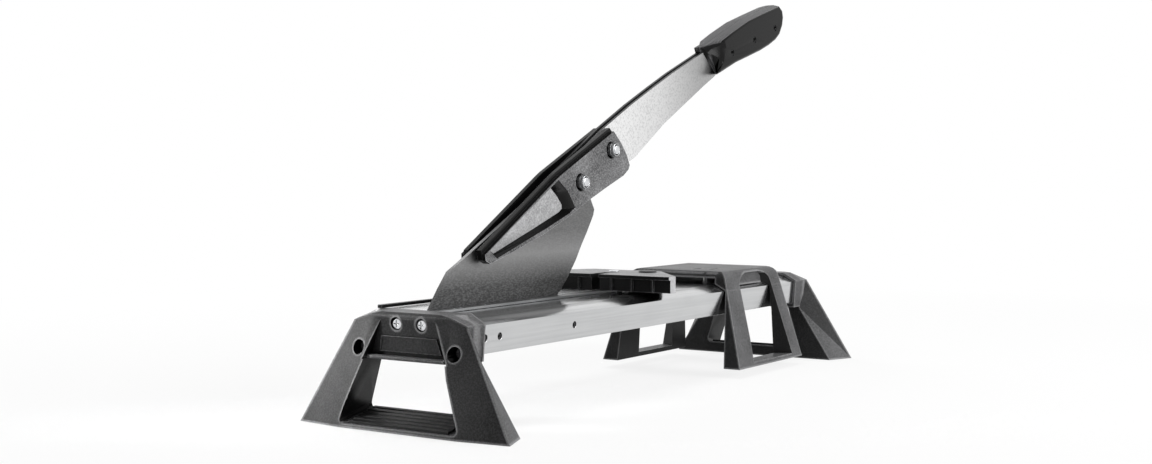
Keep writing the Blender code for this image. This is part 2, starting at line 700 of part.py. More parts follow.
def beam(parent, finish):
    boss_in, boss_out = top_boss_sides()
    ceiling = BEAM_TOP - BEAM_WALL
    corner_top = BEAM_BOTTOM + CORNER_BOSS_HIGH
    shoulder = BEAM_SHOULDER - BEAM_WALL / 2
    half = beam_shell(0.0)[:4] + (
        (corner_boss_inner(), BEAM_BOTTOM),
        (corner_boss_inner(), corner_top),
        (beam_inner_side(corner_top), corner_top),
        (beam_inner_side(shoulder), shoulder),
        (BEAM_TOP_HALF - BEAM_WALL / 4, ceiling),
        (boss_out, ceiling),
        (boss_out, ceiling - TOP_BOSS_HIGH),
        (boss_in, ceiling - TOP_BOSS_HIGH),
        (boss_in, ceiling),
        (0.0, ceiling),
    )
    front, back = BEAM_INSET, BASE_LENGTH - BEAM_INSET
    made = solid("beam", prism("X", mirrored(half), front, back), finish, parent)
    under, over = ceiling - OVERRUN, BEAM_TOP + OVERRUN
    cut(made, box(BEAM_SLOT_START, BEAM_SLOT_END, -BEAM_SLOT_HALF, BEAM_SLOT_HALF, under, over))
    end_bores = (
        (PANEL_SCREW_SIDE, PANEL_SCREW_HEIGHT, PANEL_SCREW_RADIUS + FIT),
        (DEEP_SCREW_SIDE, DEEP_SCREW_HEIGHT, DEEP_SCREW_RADIUS + FIT),
    )
    spans = ((front - OVERRUN, front + END_BORE_DEPTH), (back - END_BORE_DEPTH, back + OVERRUN))
    for side in (NEAR, FAR):
        for y, height, radius in end_bores:
            for start, end in spans:
                cut(made, rod("X", side * y, height, radius, start, end, SMALL_STEPS))
        for x in SIDE_SCREW_X:
            cut(made, side_bore(side, x, side * (beam_inner_side(BEAM_BOTTOM) - OVERRUN)))
    for share in COUNTER_SCREW_SHARES:
        cut(made, table_bore(share, NEAR * COUNTER_SCREW_SIDE))
    for share in PLATE_SCREW_SHARES:
        cut(made, table_bore(share, FAR * PLATE_SCREW_SIDE))
    cut(made, rod("Z", FENCE_PIVOT_X, 0.0, FENCE_SCREW_RADIUS + FIT, under, over, SMALL_STEPS))
    return made


# Cutting table
def table_x(share):
    return TABLE_START + (TABLE_END - TABLE_START) * share


def table_top():
    return BEAM_TOP + FIT + TABLE_THICK


def table_bore(share, y):
    low, high = BEAM_TOP - BEAM_WALL - OVERRUN, table_top() + OVERRUN
    return rod("Z", table_x(share), y, TABLE_SCREW_RADIUS + FIT, low, high, SMALL_STEPS)


def table_strip(name, side, edge, screw_side, shares, parent, finish, screw_finish):
    """One side of the table, bored for its flush screws, which go through the beam's top wall."""
    low, high = sorted((side * TABLE_SLOT_HALF, side * edge))
    top = table_top()
    made = solid(name, box(TABLE_START, TABLE_END, low, high, BEAM_TOP + FIT, top), finish, parent)
    seat = top - TABLE_HEAD_THICK
    for i, share in enumerate(shares, 1):
        x, y = table_x(share), side * screw_side
        sink = rod("Z", x, y, TABLE_HEAD_RADIUS + FIT, seat - FIT, top + OVERRUN, SMALL_STEPS)
        cut(made, sink, table_bore(share, y))
        cross_screw(
            f"{name}_screw_{i}", screw_finish, parent, (x, y, seat), (0.0, 0.0, 0.0),
            TABLE_HEAD_RADIUS, TABLE_HEAD_THICK - FIT / 2, TABLE_SCREW_RADIUS, TABLE_SCREW_LENGTH,
        )
    return made


def support_rail(parent, finish):
    edge = TABLE_PLATE_EDGE - RAIL_EDGE_GAP
    low = BEAM_TOP + COLLAR_WALL + FIT
    back = FENCE_FRONT - RAIL_FENCE_GAP
    strip = box(RAIL_START, back, edge - RAIL_WIDE, edge, low, low + RAIL_HIGH)
    return solid("support_rail", strip, finish, parent)


# Pivot and guide blocks inside the beam
def block(name, side, start, end, inner, parent, finish):
    """A block that fills one half of the beam between its corner boss and its side wall."""
    step = BEAM_BOTTOM + CORNER_BOSS_HIGH + FIT
    boss = corner_boss_inner() - FIT
    low_side, high_side = (beam_inner_side(h) - BLOCK_SIDE_GAP for h in (step, BLOCK_TOP))
    outline = (
        (inner, BLOCK_BOTTOM), (boss, BLOCK_BOTTOM), (boss, step),
        (low_side, step), (high_side, BLOCK_TOP), (inner, BLOCK_TOP),
    )
    made = solid(name, prism("X", [(side * y, h) for y, h in outline], start, end), finish, parent)
    for x in SIDE_SCREW_X:
        if start < x < end:
            cut(made, side_bore(side, x, side * (SIDE_SCREW_OUTER - SIDE_SCREW_LENGTH - FIT)))
    return made


def pivot_block(name, side, parent, finish):
    made = block(name, side, PIVOT_BLOCK_START, PIVOT_BLOCK_END, BUSH_OUTER + FIT, parent, finish)
    outer = side * (beam_inner_side(BLOCK_TOP) + OVERRUN)
    y0, y1 = sorted((side * PIVOT_SEAT, outer))
    nut_half = PIVOT_NUT_FLATS / 2 + FIT
    nut_corner = PIVOT_NUT_FLATS / math.sqrt(3) + FIT
    x0, x1 = PIVOT_X - nut_half, PIVOT_X + nut_half
    cut(
        made,
        rod("Y", PIVOT_X, PIVOT_Z, PIVOT_RADIUS + FIT, 0.0, outer),
        box(x0, x1, y0, y1, PIVOT_Z - nut_corner, BLOCK_TOP + OVERRUN),
    )
    return made


def side_screws(parent, finish):
    """Socket set screws that reach through the beam's side holes into the blocks."""
    for side, label in ((NEAR, "near"), (FAR, "far")):
        for i, x in enumerate(SIDE_SCREW_X, 1):
            outer, inner = side * SIDE_SCREW_OUTER, side * (SIDE_SCREW_OUTER - SIDE_SCREW_LENGTH)
            shank = rod("Y", x, SIDE_SCREW_HEIGHT, SIDE_SCREW_RADIUS, inner, outer, SMALL_STEPS)
            made = solid(f"side_screw_{label}_{i}", shank, finish, parent)
            socket = hexagon(x, SIDE_SCREW_HEIGHT, SIDE_SCREW_RADIUS)
            cut(made, prism("Y", socket, outer - side * SIDE_SCREW_SOCKET, outer + side * OVERRUN))


def pivot_bore(side, end):
    """The bolt's bore through a piece that ends at a distance from the mid-plane."""
    return rod("Y", PIVOT_X, PIVOT_Z, PIVOT_RADIUS + FIT, 0.0, side * (end + OVERRUN))


def pivot(parent, steel, bronze):
    seat = PIVOT_SEAT + FIT
    nut_end = seat + PIVOT_NUT_THICK
    tip = -(seat + nut_end + FIT * 4)
    profile = (
        (0.0, PIVOT_HEAD_THICK), (PIVOT_HEAD_RADIUS, PIVOT_HEAD_THICK), (PIVOT_HEAD_RADIUS, 0.0),
        (PIVOT_RADIUS, 0.0), (PIVOT_RADIUS, tip), (0.0, tip),
    )
    bolt = solid("pivot_bolt", turned(profile), steel, parent, (PIVOT_X, seat, PIVOT_Z), FACE_FAR)
    socket = hexagon(0.0, 0.0, PIVOT_HEAD_RADIUS)
    cut(bolt, prism("Z", socket, PIVOT_HEAD_THICK / 2, PIVOT_HEAD_THICK + OVERRUN))
    outline = hexagon(PIVOT_X, PIVOT_Z, PIVOT_NUT_FLATS)
    nut = solid("pivot_nut", prism("Y", outline, NEAR * seat, NEAR * nut_end), steel, parent)
    cut(nut, pivot_bore(NEAR, nut_end))
    for side, label in ((NEAR, "near"), (FAR, "far")):
        ring = rod("Y", PIVOT_X, PIVOT_Z, BUSH_RADIUS, side * (BLADE_HALF + FIT), side * BUSH_OUTER)
        bush = solid(f"pivot_bush_{label}", ring, bronze, parent)
        cut(bush, pivot_bore(side, BUSH_OUTER))


# Cutting arm, in coordinates from the pivot
def arm(shares):
    return [(ARM_REACH * u, ARM_RISE * v) for u, v in shares]


def blade(parent, finish):
    heel = circle(0.0, 0.0, BLADE_HEEL_RADIUS)
    low_left = [p for p in heel if p[1] < 0 and p[0] < BLADE_HEEL_RADIUS / 2]
    outline = arm(BLADE_SHARES) + sorted(low_left, key=lambda p: -p[0])
    made = solid("blade", prism("Y", outline, -BLADE_HALF, BLADE_HALF), finish, parent)
    reach = BLADE_HALF + OVERRUN
    cut(made, rod("Y", 0.0, 0.0, PIVOT_RADIUS + FIT, -reach, reach))
    for share, radius in ((RIVET_SHARE, RIVET_RADIUS), (ARM_BOLT_SHARES[0], ARM_BOLT_RADIUS)):
        u, v = arm([share])[0]
        cut(made, rod("Y", u, v, radius + FIT, -reach, reach))
    return made


def rivet(parent, finish):
    u, v = arm([RIVET_SHARE])[0]
    return solid("blade_rivet", rod("Y", u, v, RIVET_RADIUS, -PLATE_OUTER, PLATE_OUTER), finish, parent)


def lever_plate(name, side, parent, finish):
    outline = arm(LEVER_SHARES)
    made = solid(name, prism("Y", outline, side * PLATE_INNER, side * PLATE_OUTER), finish, parent)
    holes = [(RIVET_SHARE, RIVET_RADIUS)] + [(share, ARM_BOLT_RADIUS) for share in ARM_BOLT_SHARES]
    holes += [(share, HANDLE_SCREW_RADIUS) for share in HANDLE_SCREW_SHARES[:2]]
    for share, radius in holes:
        u, v = arm([share])[0]
        cut(made, rod("Y", u, v, radius + FIT, 0.0, side * (PLATE_OUTER + OVERRUN)))
    return made


def lever_spacer(parent, finish):
    half = PLATE_INNER - FIT
    made = solid("lever_spacer", prism("Y", arm(SPACER_SHARES), -half, half), finish, parent)
    u, v = arm([ARM_BOLT_SHARES[1]])[0]
    cut(made, rod("Y", u, v, ARM_BOLT_RADIUS + FIT, -half - OVERRUN, half + OVERRUN))
    return made


def carrier(name, side, parent, finish):
    """A cheek plate outside the lever: a stepped top, a sloping pocket and two nut recesses."""
    low = arm(CARRIER_SHARES)
    (du, dv), = arm([CARRIER_CREST_SHARE])
    span = range(CARRIER_CREST_FIRST, CARRIER_CREST_LAST + 1)
    crest = [(u + du, v + dv) if i in span else (u, v) for i, (u, v) in enumerate(low)]
    rings = ((crest, CARRIER_INNER), (crest, CARRIER_STEP), (low, CARRIER_STEP + FIT), (low, CARRIER_OUTER))
    made = solid(
        name, loft([[placed("Y", u, v, side * y) for u, v in ring] for ring, y in rings]), finish, parent
    )
    rim, floor = arm(POCKET_RIM_SHARES), arm(POCKET_FLOOR_SHARES)
    outside = CARRIER_OUTER + FIT
    cut(made, loft([
        [placed("Y", u, v, side * POCKET_FLOOR) for u, v in floor],
        [placed("Y", u, v, side * outside) for u, v in rim],
    ]))
    for u, v in arm(ARM_BOLT_SHARES):
        cut(
            made,
            rod("Y", u, v, ARM_RECESS_RADIUS, side * ARM_RECESS_FLOOR, side * (CARRIER_OUTER + OVERRUN)),
            rod("Y", u, v, ARM_BOLT_RADIUS + FIT, 0.0, side * (CARRIER_OUTER + OVERRUN)),
        )
    return made


def arm_bolts(parent, finish):
    """Hexagon bolts from the far side, with collared lock nuts in the near recesses."""
    seat = ARM_RECESS_FLOOR + FIT
    for i, (u, v) in enumerate(arm(ARM_BOLT_SHARES), 1):
        head = hexagon(u, v, ARM_NUT_FLATS)
        bolt = solid(f"carrier_bolt_{i}", prism("Y", head, seat, seat + ARM_NUT_THICK), finish, parent)
        join(bolt, rod("Y", u, v, ARM_BOLT_RADIUS, -ARM_BOLT_END, seat + ARM_NUT_THICK / 2))
        nut = solid(f"carrier_nut_{i}", prism("Y", head, -seat - ARM_NUT_THICK, -seat), finish, parent)
        collar_end = -seat - ARM_NUT_THICK - ARM_COLLAR_THICK
        join(nut, rod("Y", u, v, ARM_COLLAR_RADIUS, collar_end, -seat - ARM_NUT_THICK / 2))
        cut(nut, rod("Y", u, v, ARM_BOLT_RADIUS + FIT, -ARM_BOLT_END - OVERRUN, 0.0))


def handle_shell(name, side, parent, finish):
    """Half of the grip: its outline draws in from the crown at the seam to the side face."""
    crown, flank = arm(HANDLE_CROWN_SHARES), arm(HANDLE_SIDE_SHARES)
    rings = []
    for out, drawn in HANDLE_WIDTH_SHARES:
        y = side * (HANDLE_SEAM + (HANDLE_HALF - HANDLE_SEAM) * out)
        rings.append([placed("Y", *Vector(a).lerp(Vector(b), drawn), y) for a, b in zip(crown, flank)])
    made = solid(name, loft(rings), finish, parent)
    cut(made, prism("Y", grown(arm(LEVER_SHARES), FIT), side * -OVERRUN, side * (PLATE_OUTER + FIT)))
    past = HANDLE_HALF + OVERRUN
    for u, v in arm(HANDLE_SCREW_SHARES):
        end = past if side == NEAR else HANDLE_BORE_END
        cut(made, rod("Y", u, v, HANDLE_SCREW_RADIUS + FIT, side * -OVERRUN, side * end, SMALL_STEPS))
        if side == NEAR:
            cut(made, rod("Y", u, v, HANDLE_HEAD_RADIUS + FIT * 2, side * HANDLE_SEAT, side * past))
    return made


def handle_screws(parent, finish):
    length = HANDLE_SEAT + HANDLE_BORE_END - FIT * 2
    for i, (u, v) in enumerate(arm(HANDLE_SCREW_SHARES), 1):
        cross_screw(
            f"handle_screw_{i}", finish, parent, (u, NEAR * (HANDLE_SEAT + FIT), v), FACE_NEAR,
            HANDLE_HEAD_RADIUS, HANDLE_HEAD_THICK, HANDLE_SCREW_RADIUS, length,
        )


# Fence, in coordinates from its screw
def fence_plan(margin=0.0, front=FENCE_FRONT):
    """The fence seen from above, drawn in by margin."""
    start, bar = front - FENCE_PIVOT_X, FENCE_FRONT + FENCE_BAR - FENCE_PIVOT_X
    back = FENCE_BACK - FENCE_PIVOT_X
    outline = [
        (start, -FENCE_HALF), (bar, -FENCE_HALF), (back, -FENCE_BACK_NEAR),
        (back, FENCE_BACK_FAR), (bar, FENCE_HALF), (start, FENCE_HALF),
    ]
    return grown(outline, -margin)


def fence(parent, finish):
    """A hollow block under a flange, with a ribbed face, a slot for the blade and a hub for its screw."""
    low, hub_low = table_top() + FIT, BEAM_TOP + FIT
    under, over = FENCE_TOP - FENCE_FLANGE, FENCE_TOP + OVERRUN
    face = FENCE_FRONT + FENCE_OVERHANG
    made = solid("fence", prism("Z", fence_plan(0.0, face), low, under + FIT), finish, parent)
    join(made, prism("Z", fence_plan(), under, FENCE_TOP))
    cut(made, prism("Z", fence_plan(FENCE_WALL, face), low - OVERRUN, under - FIT))
    join(made, rod("Z", 0.0, 0.0, FENCE_HUB_RADIUS, hub_low, under + FIT))
    start, end = FENCE_FRONT - FENCE_PIVOT_X, FENCE_SLOT_END - FENCE_PIVOT_X
    rib_back = start + FENCE_OVERHANG * 2
    wall_half = FENCE_SLOT_HALF + FENCE_WALL
    join(made, box(rib_back, end, -wall_half, wall_half, low, under + FIT))
    cut(made, box(start - OVERRUN, end, -FENCE_SLOT_HALF, FENCE_SLOT_HALF, hub_low - OVERRUN, over))
    for side in (NEAR, FAR):
        for i in range(FENCE_RIBS):
            y = side * (FENCE_RIB_FIRST + FENCE_RIB_PITCH * i)
            join(made, box(start + FIT, rib_back, y - FENCE_RIB / 2, y + FENCE_RIB / 2, low, under + FIT))
    disc_x = DISC_X - FENCE_PIVOT_X
    cut(
        made,
        rod("Z", 0.0, 0.0, FENCE_SCREW_RADIUS + FIT, hub_low - OVERRUN, over, SMALL_STEPS),
        rod("Z", disc_x, NEAR * DISC_SIDE, DISC_PEG_RADIUS + FIT, under - OVERRUN, over, SMALL_STEPS),
    )
    return made


def fence_disc(parent, finish):
    peg = FENCE_FLANGE / 2
    profile = (
        (0.0, DISC_THICK), (DISC_RADIUS * DISC_FACE_SHARE, DISC_THICK), (DISC_RADIUS, DISC_THICK / 2),
        (DISC_RADIUS, 0.0), (DISC_PEG_RADIUS, 0.0), (DISC_PEG_RADIUS, -peg), (0.0, -peg),
    )
    location = (DISC_X - FENCE_PIVOT_X, NEAR * DISC_SIDE, FENCE_TOP + FIT)
    return solid("fence_disc", turned(profile), finish, parent, location)


# Bench
def grip_outline(x, y):
    """A lens with its two points along X."""
    half = [-1 + 2 * i / BENCH_GRIP_STEPS for i in range(BENCH_GRIP_STEPS)]
    upper = [(x + BENCH_GRIP_LONG / 2 * t, y + BENCH_GRIP_WIDE / 2 * (1 - t * t)) for t in half]
    lower = [(x - BENCH_GRIP_LONG / 2 * t, y - BENCH_GRIP_WIDE / 2 * (1 - t * t)) for t in half]
    return upper + lower


def bench(parent, finish):
    """A splayed moulding: a skin on four posts, open below, in the arch and at both sides."""
    def ring(h, inset):
        share = (h - BENCH_FOOT) / (BENCH_TOP - BENCH_FOOT)
        front = BENCH_FOOT_FRONT + (BENCH_TOP_FRONT - BENCH_FOOT_FRONT) * share + inset
        back = BENCH_FOOT_BACK + (BENCH_TOP_BACK - BENCH_FOOT_BACK) * share - inset
        half = BENCH_FOOT_HALF + (BENCH_TOP_HALF - BENCH_FOOT_HALF) * share - inset
        return [Vector((x, y, h)) for x, y in ((front, -half), (back, -half), (back, half), (front, half))]

    bend = [(BENCH_FOOT, 0.0), (BENCH_TOP - BENCH_ROUND, 0.0)]
    for angle in (math.pi / 2 * (i + 1) / CORNER_STEPS for i in range(CORNER_STEPS)):
        bend.append((BENCH_TOP - BENCH_ROUND * (1 - math.sin(angle)), BENCH_ROUND * (1 - math.cos(angle))))
    made = solid("bench", loft([ring(h, inset) for h, inset in bend]), finish, parent)

    shell = beam_shell(BENCH_SIDE_GAP)
    arch = ((BENCH_INNER_FOOT_HALF, BENCH_FOOT - OVERRUN), shell[2], shell[1], (shell[1][0], BENCH_ARCH))
    cut(made, prism("X", mirrored(arch), BENCH_FOOT_FRONT - OVERRUN, BENCH_FOOT_BACK + OVERRUN))

    cavity_front = BENCH_TOP_FRONT + BENCH_SKIN
    cavity_back = BENCH_TOP_BACK - BENCH_SKIN
    room = cavity_back - cavity_front
    edges = [cavity_front] + [cavity_front + room * share for share in BENCH_RIB_SHARES] + [cavity_back]
    ceiling = BENCH_TOP - BENCH_SKIN
    half = BENCH_TOP_HALF - BENCH_ROUND
    for start, end in zip(edges, edges[1:]):
        first = start if start == cavity_front else start + BENCH_SKIN / 2
        last = end if end == cavity_back else end - BENCH_SKIN / 2
        cut(made, box(first, last, -half, half, BEAM_TOP, ceiling))

    start, end = BENCH_FOOT_FRONT + BENCH_FRONT_POST_HEAD, BENCH_FOOT_BACK - BENCH_BACK_POST_HEAD
    head, middle = end - start, (start + end) / 2
    rise = BENCH_WINDOW_CROWN - BENCH_WINDOW_SPRING
    sill = BENCH_FOOT + BENCH_BAR
    outline = [(BENCH_FOOT_BACK - BENCH_BACK_POST_FOOT, sill)]
    outline += [(BENCH_FOOT_FRONT + BENCH_FRONT_POST_FOOT, sill), (start, BENCH_WINDOW_SPRING)]
    outline += [(start + head * u, BENCH_WINDOW_SPRING + rise * v) for u, v in BENCH_ARCH_SHARES]
    outline += [(end, BENCH_WINDOW_SPRING)]
    closing = 1 - 2 * BENCH_FLARE / head
    drawn_in = [(middle + (x - middle) * closing, h) for x, h in outline]

    def outer_half(h):
        share = (h - BENCH_FOOT) / (BENCH_TOP - BENCH_FOOT)
        return BENCH_FOOT_HALF + (BENCH_TOP_HALF - BENCH_FOOT_HALF) * share

    def inner_half(h):
        drawn = (BEAM_HALF + BENCH_SIDE_GAP - BENCH_INNER_FOOT_HALF) / (BEAM_SHOULDER - BENCH_FOOT)
        return BENCH_INNER_FOOT_HALF + drawn * (h - BENCH_FOOT)

    for side in (NEAR, FAR):
        cut(made, loft([
            [Vector((x, side * (outer_half(h) + BENCH_SKIN), h)) for x, h in outline],
            [Vector((x, side * (inner_half(h) - OVERRUN), h)) for x, h in drawn_in],
        ]))

    low = BEAM_TOP + FIT
    for side in (NEAR, FAR):
        inner, outer = sorted((side * BENCH_RUNNER_SIDE, side * (BENCH_RUNNER_SIDE + BENCH_RUNNER_WIDE)))
        join(made, box(cavity_front, cavity_back, inner, outer, low, ceiling + BENCH_SKIN / 2))

    for x, y in BENCH_GRIP_PLACES:
        lens = grip_outline(BENCH_FOOT_FRONT + x, NEAR * y)
        cut(made, prism("Z", lens, BENCH_TOP - BENCH_GRIP_DEPTH, BENCH_TOP + OVERRUN))
    return made


def centre_on_floor(root):
    """Moves the whole assembly so that X=0 is the middle of its length."""
    bpy.context.view_layer.update()
    xs = []
    for obj in bpy.data.objects:
        if obj.type == "MESH" and not obj.hide_render:
            xs += [(obj.matrix_world @ Vector(corner)).x for corner in obj.bound_box]
    root.location.x = -(min(xs) + max(xs)) / 2


def main():
    clear_scene()
    moulded = material("grey_moulded_plastic", (0.07, 0.07, 0.075), 0.62)
    black = material("black_plastic", (0.015, 0.015, 0.016), 0.5)
    gloss = material("glossy_black_plastic", (0.01, 0.01, 0.011), 0.18)
    rubber = material("black_rubber", (0.02, 0.02, 0.02), 0.8)
    aluminium = material("satin_aluminium", (0.74, 0.75, 0.76), 0.32, 1.0)
    steel = material("ground_steel", (0.55, 0.56, 0.57), 0.3, 1.0)
    dark_steel = material("brushed_blade_steel", (0.16, 0.165, 0.17), 0.38, 1.0)
    zinc = material("zinc_plated_steel", (0.68, 0.69, 0.7), 0.28, 1.0)
    cast = material("coated_casting", (0.2, 0.2, 0.21), 0.5, 0.3)
    bronze = material("sintered_bush", (0.35, 0.3, 0.24), 0.5, 1.0)

    root = empty("cutter")
    front_end = empty("front_end", parent=root)
    rear_end = empty("rear_end", (BASE_LENGTH, 0.0, 0.0), math.pi, root)
    for prefix, end, rim in (("front", front_end, FRONT_COLLAR_RIM), ("rear", rear_end, REAR_COLLAR_RIM)):
        stand(f"{prefix}_stand", end, rim, moulded)
        tread(f"{prefix}_tread", end, rubber)
        pad(f"{prefix}_pad", end, rubber)
        stand_screws(prefix, end, zinc)
    badge_plate("front_badge_plate", front_end, moulded)

    beam(root, aluminium)
    near_strip = (NEAR, COUNTER_BLADE_EDGE, COUNTER_SCREW_SIDE, COUNTER_SCREW_SHARES)
    far_strip = (FAR, TABLE_PLATE_EDGE, PLATE_SCREW_SIDE, PLATE_SCREW_SHARES)
    table_strip("counter_blade", *near_strip, root, steel, zinc)
    table_strip("table_plate", *far_strip, root, steel, zinc)
    support_rail(root, black)
    guide = (GUIDE_BLOCK_START, GUIDE_BLOCK_END, GUIDE_SLOT_HALF)
    for side, label in ((NEAR, "near"), (FAR, "far")):
        pivot_block(f"pivot_block_{label}", side, root, black)
        block(f"guide_block_{label}", side, *guide, root, black)
    side_screws(root, zinc)
    pivot(root, zinc, bronze)

    hinge = empty("lever_hinge", (PIVOT_X, 0.0, PIVOT_Z), parent=root)
    blade(hinge, dark_steel)
    rivet(hinge, steel)
    for side, label in ((NEAR, "near"), (FAR, "far")):
        lever_plate(f"lever_plate_{label}", side, hinge, aluminium)
        carrier(f"carrier_{label}", side, hinge, cast)
        handle_shell(f"handle_shell_{label}", side, hinge, gloss)
    lever_spacer(hinge, black)
    arm_bolts(hinge, zinc)
    handle_screws(hinge, black)

    swivel = empty("fence_swivel", (FENCE_PIVOT_X, 0.0, 0.0), parent=root)
    fence(swivel, black)
    fence_disc(swivel, black)
    cross_screw(
        "fence_screw", zinc, root, (FENCE_PIVOT_X, 0.0, FENCE_TOP + FIT), (0.0, 0.0, 0.0),
        FENCE_HEAD_RADIUS, FENCE_HEAD_THICK, FENCE_SCREW_RADIUS, FENCE_TOP - BEAM_TOP + BEAM_WALL,
    )
    slide = empty("bench_slide", parent=root)
    bench(slide, moulded)
    centre_on_floor(root)


main()
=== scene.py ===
"""Looks of the laminate cutter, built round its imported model."""

import math

import bmesh
import bpy
from mathutils import Matrix, Vector


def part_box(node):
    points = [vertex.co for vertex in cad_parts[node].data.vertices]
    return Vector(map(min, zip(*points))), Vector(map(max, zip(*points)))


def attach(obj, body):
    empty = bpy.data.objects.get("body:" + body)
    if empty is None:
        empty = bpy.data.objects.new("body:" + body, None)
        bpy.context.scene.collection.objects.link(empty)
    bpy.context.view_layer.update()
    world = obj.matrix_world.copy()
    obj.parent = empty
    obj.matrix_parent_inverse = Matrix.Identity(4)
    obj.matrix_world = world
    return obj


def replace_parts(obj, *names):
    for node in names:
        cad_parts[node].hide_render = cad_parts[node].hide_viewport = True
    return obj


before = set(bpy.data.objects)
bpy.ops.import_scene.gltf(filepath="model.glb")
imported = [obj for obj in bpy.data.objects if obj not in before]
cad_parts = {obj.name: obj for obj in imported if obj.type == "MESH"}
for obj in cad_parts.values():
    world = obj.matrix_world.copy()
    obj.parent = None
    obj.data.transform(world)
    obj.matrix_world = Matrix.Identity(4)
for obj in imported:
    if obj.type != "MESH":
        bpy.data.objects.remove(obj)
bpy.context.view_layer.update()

# Stands
# Two injection-moulded feet of grained dark plastic that close both ends of the beam.
# The grain is etched into the mould. Painted highlights pale the edges, painted shade darkens the inward
# walls, and the faces turned from the front are painted lit.
STAND_EDGE = 0.0003
RIM_REACH = 0.0020
STAND_DARK = (0.007, 0.007, 0.0072)
STAND_PALE = (0.042, 0.042, 0.043)
# Painted highlight: the pale colour of the rounded edges.
STAND_RIM_HIGHLIGHT = (0.30, 0.30, 0.305)
# Painted light: a paler copy of the plastic for faces turned from the front.
LIT_FLANK_DARK = (0.045, 0.045, 0.046)
LIT_FLANK_PALE = (0.160, 0.160, 0.164)
# Painted shade: a darker copy of the plastic for inward walls and screw holes.
SHADED_INNER_DARK = (0.003, 0.003, 0.003)
SHADED_INNER_PALE = (0.016, 0.016, 0.0165)
GRAIN_SCALE = 820.0
GRAIN_DEPTH = 0.00015
PLASTIC_SHINE = 0.12
HOLLOW_REACH = 0.014
MERGE_GAP = 0.000002
FLAT_ANGLE = math.radians(0.6)
SHARP_ANGLE = math.radians(28)
CREASE_ANGLE = math.radians(56)
EDGE_ROOM = 2.2
FLANK_TURN = 0.5
HOLE_REACH = 0.007


class Value:
    """A shader socket whose sums, products and differences add Math nodes to its tree."""

    def __init__(self, tree, socket):
        self.tree = tree
        self.socket = socket

    def math(self, operation, first, second):
        return self.tree.node("ShaderNodeMath", {"operation": operation}, {0: first, 1: second})

    def __add__(self, other):
        return self.math("ADD", self, other)

    def __mul__(self, other):
        return self.math("MULTIPLY", self, other)

    def __sub__(self, other):
        return self.math("SUBTRACT", self, other)

    def __rsub__(self, other):
        return self.math("SUBTRACT", other, self)

    __radd__ = __add__
    __rmul__ = __mul__

    def between(self, low, high):
        """0 at low, 1 at high, and a straight run between them."""
        inputs = {"Value": self, "From Min": low, "From Max": high}
        return self.tree.node("ShaderNodeMapRange", {"clamp": True}, inputs)


class Tree:
    """A node tree to which node() adds any node, and plug() a value or a link."""

    def __init__(self, tree):
        self.tree = tree

    def node(self, kind, settings, inputs, output=0):
        made = self.tree.nodes.new(kind)
        for name, value in settings.items():
            if name == "stops":
                elements = made.color_ramp.elements
                while len(elements) < len(value):
                    elements.new(0.5)
                for stop, (place, shade) in zip(elements, value):
                    stop.position, stop.color = place, (shade, shade, shade, 1.0)
            else:
                setattr(made, name, value)
        for name, value in inputs.items():
            self.plug(made.inputs[name], value)
        return Value(self, made.outputs[output])

    def plug(self, socket, value):
        if isinstance(value, Value):
            self.tree.links.new(value.socket, socket)
        else:
            socket.default_value = (*value, 1.0) if socket.type == "RGBA" else value


class Finish(Tree):
    """A material under way: ready() sets the shader's own sockets and gives the material."""

    def __init__(self, name):
        self.material = bpy.data.materials.new(name)
        self.material.use_nodes = True
        super().__init__(self.material.node_tree)
        self.shader = self.tree.nodes["Principled BSDF"]
        self.place = self.node("ShaderNodeTexCoord", {}, {}, "Object")

    def noise(self, scale, detail=2.0, stretch=(1.0, 1.0, 1.0)):
        """Noise in metres, drawn out along the axes whose stretch is under one."""
        where = self.node("ShaderNodeMapping", {}, {"Vector": self.place, "Scale": stretch})
        return self.node("ShaderNodeTexNoise", {}, {"Vector": where, "Scale": scale, "Detail": detail})

    def along(self, axis):
        return self.node("ShaderNodeSeparateXYZ", {}, {"Vector": self.place}, axis)

    def facing(self, axis):
        """How squarely the surface faces along an axis, from -1 to 1."""
        normal = self.node("ShaderNodeNewGeometry", {}, {}, "Normal")
        return self.node("ShaderNodeSeparateXYZ", {}, {"Vector": normal}, axis)

    def openness(self, reach, inside):
        """How freely the surface sees out, or with inside how freely it sees into the piece."""
        settings = {"samples": 4, "only_local": True, "inside": inside}
        return self.node("ShaderNodeAmbientOcclusion", settings, {"Distance": reach}, "AO")

    def hollow_shade(self, reach):
        """1 on open faces, falling to 0 deep in the piece's own corners, where shade is painted."""
        return self.openness(reach, False).between(0.25, 0.85)

    def edge(self, reach):
        """1 along the piece's outer edges, falling to 0 a short way into its flat faces."""
        return self.openness(reach, True).between(0.95, 0.60)

    def mix(self, share, first, second):
        return self.node("ShaderNodeMix", {"data_type": "RGBA"}, {"Factor": share, 6: first, 7: second}, 2)

    def bump(self, height, depth):
        return self.node("ShaderNodeBump", {}, {"Height": height, "Distance": depth})

    def ready(self, **values):
        for name, value in values.items():
            self.plug(self.shader.inputs[name.replace("_", " ")], value)
        return self.material


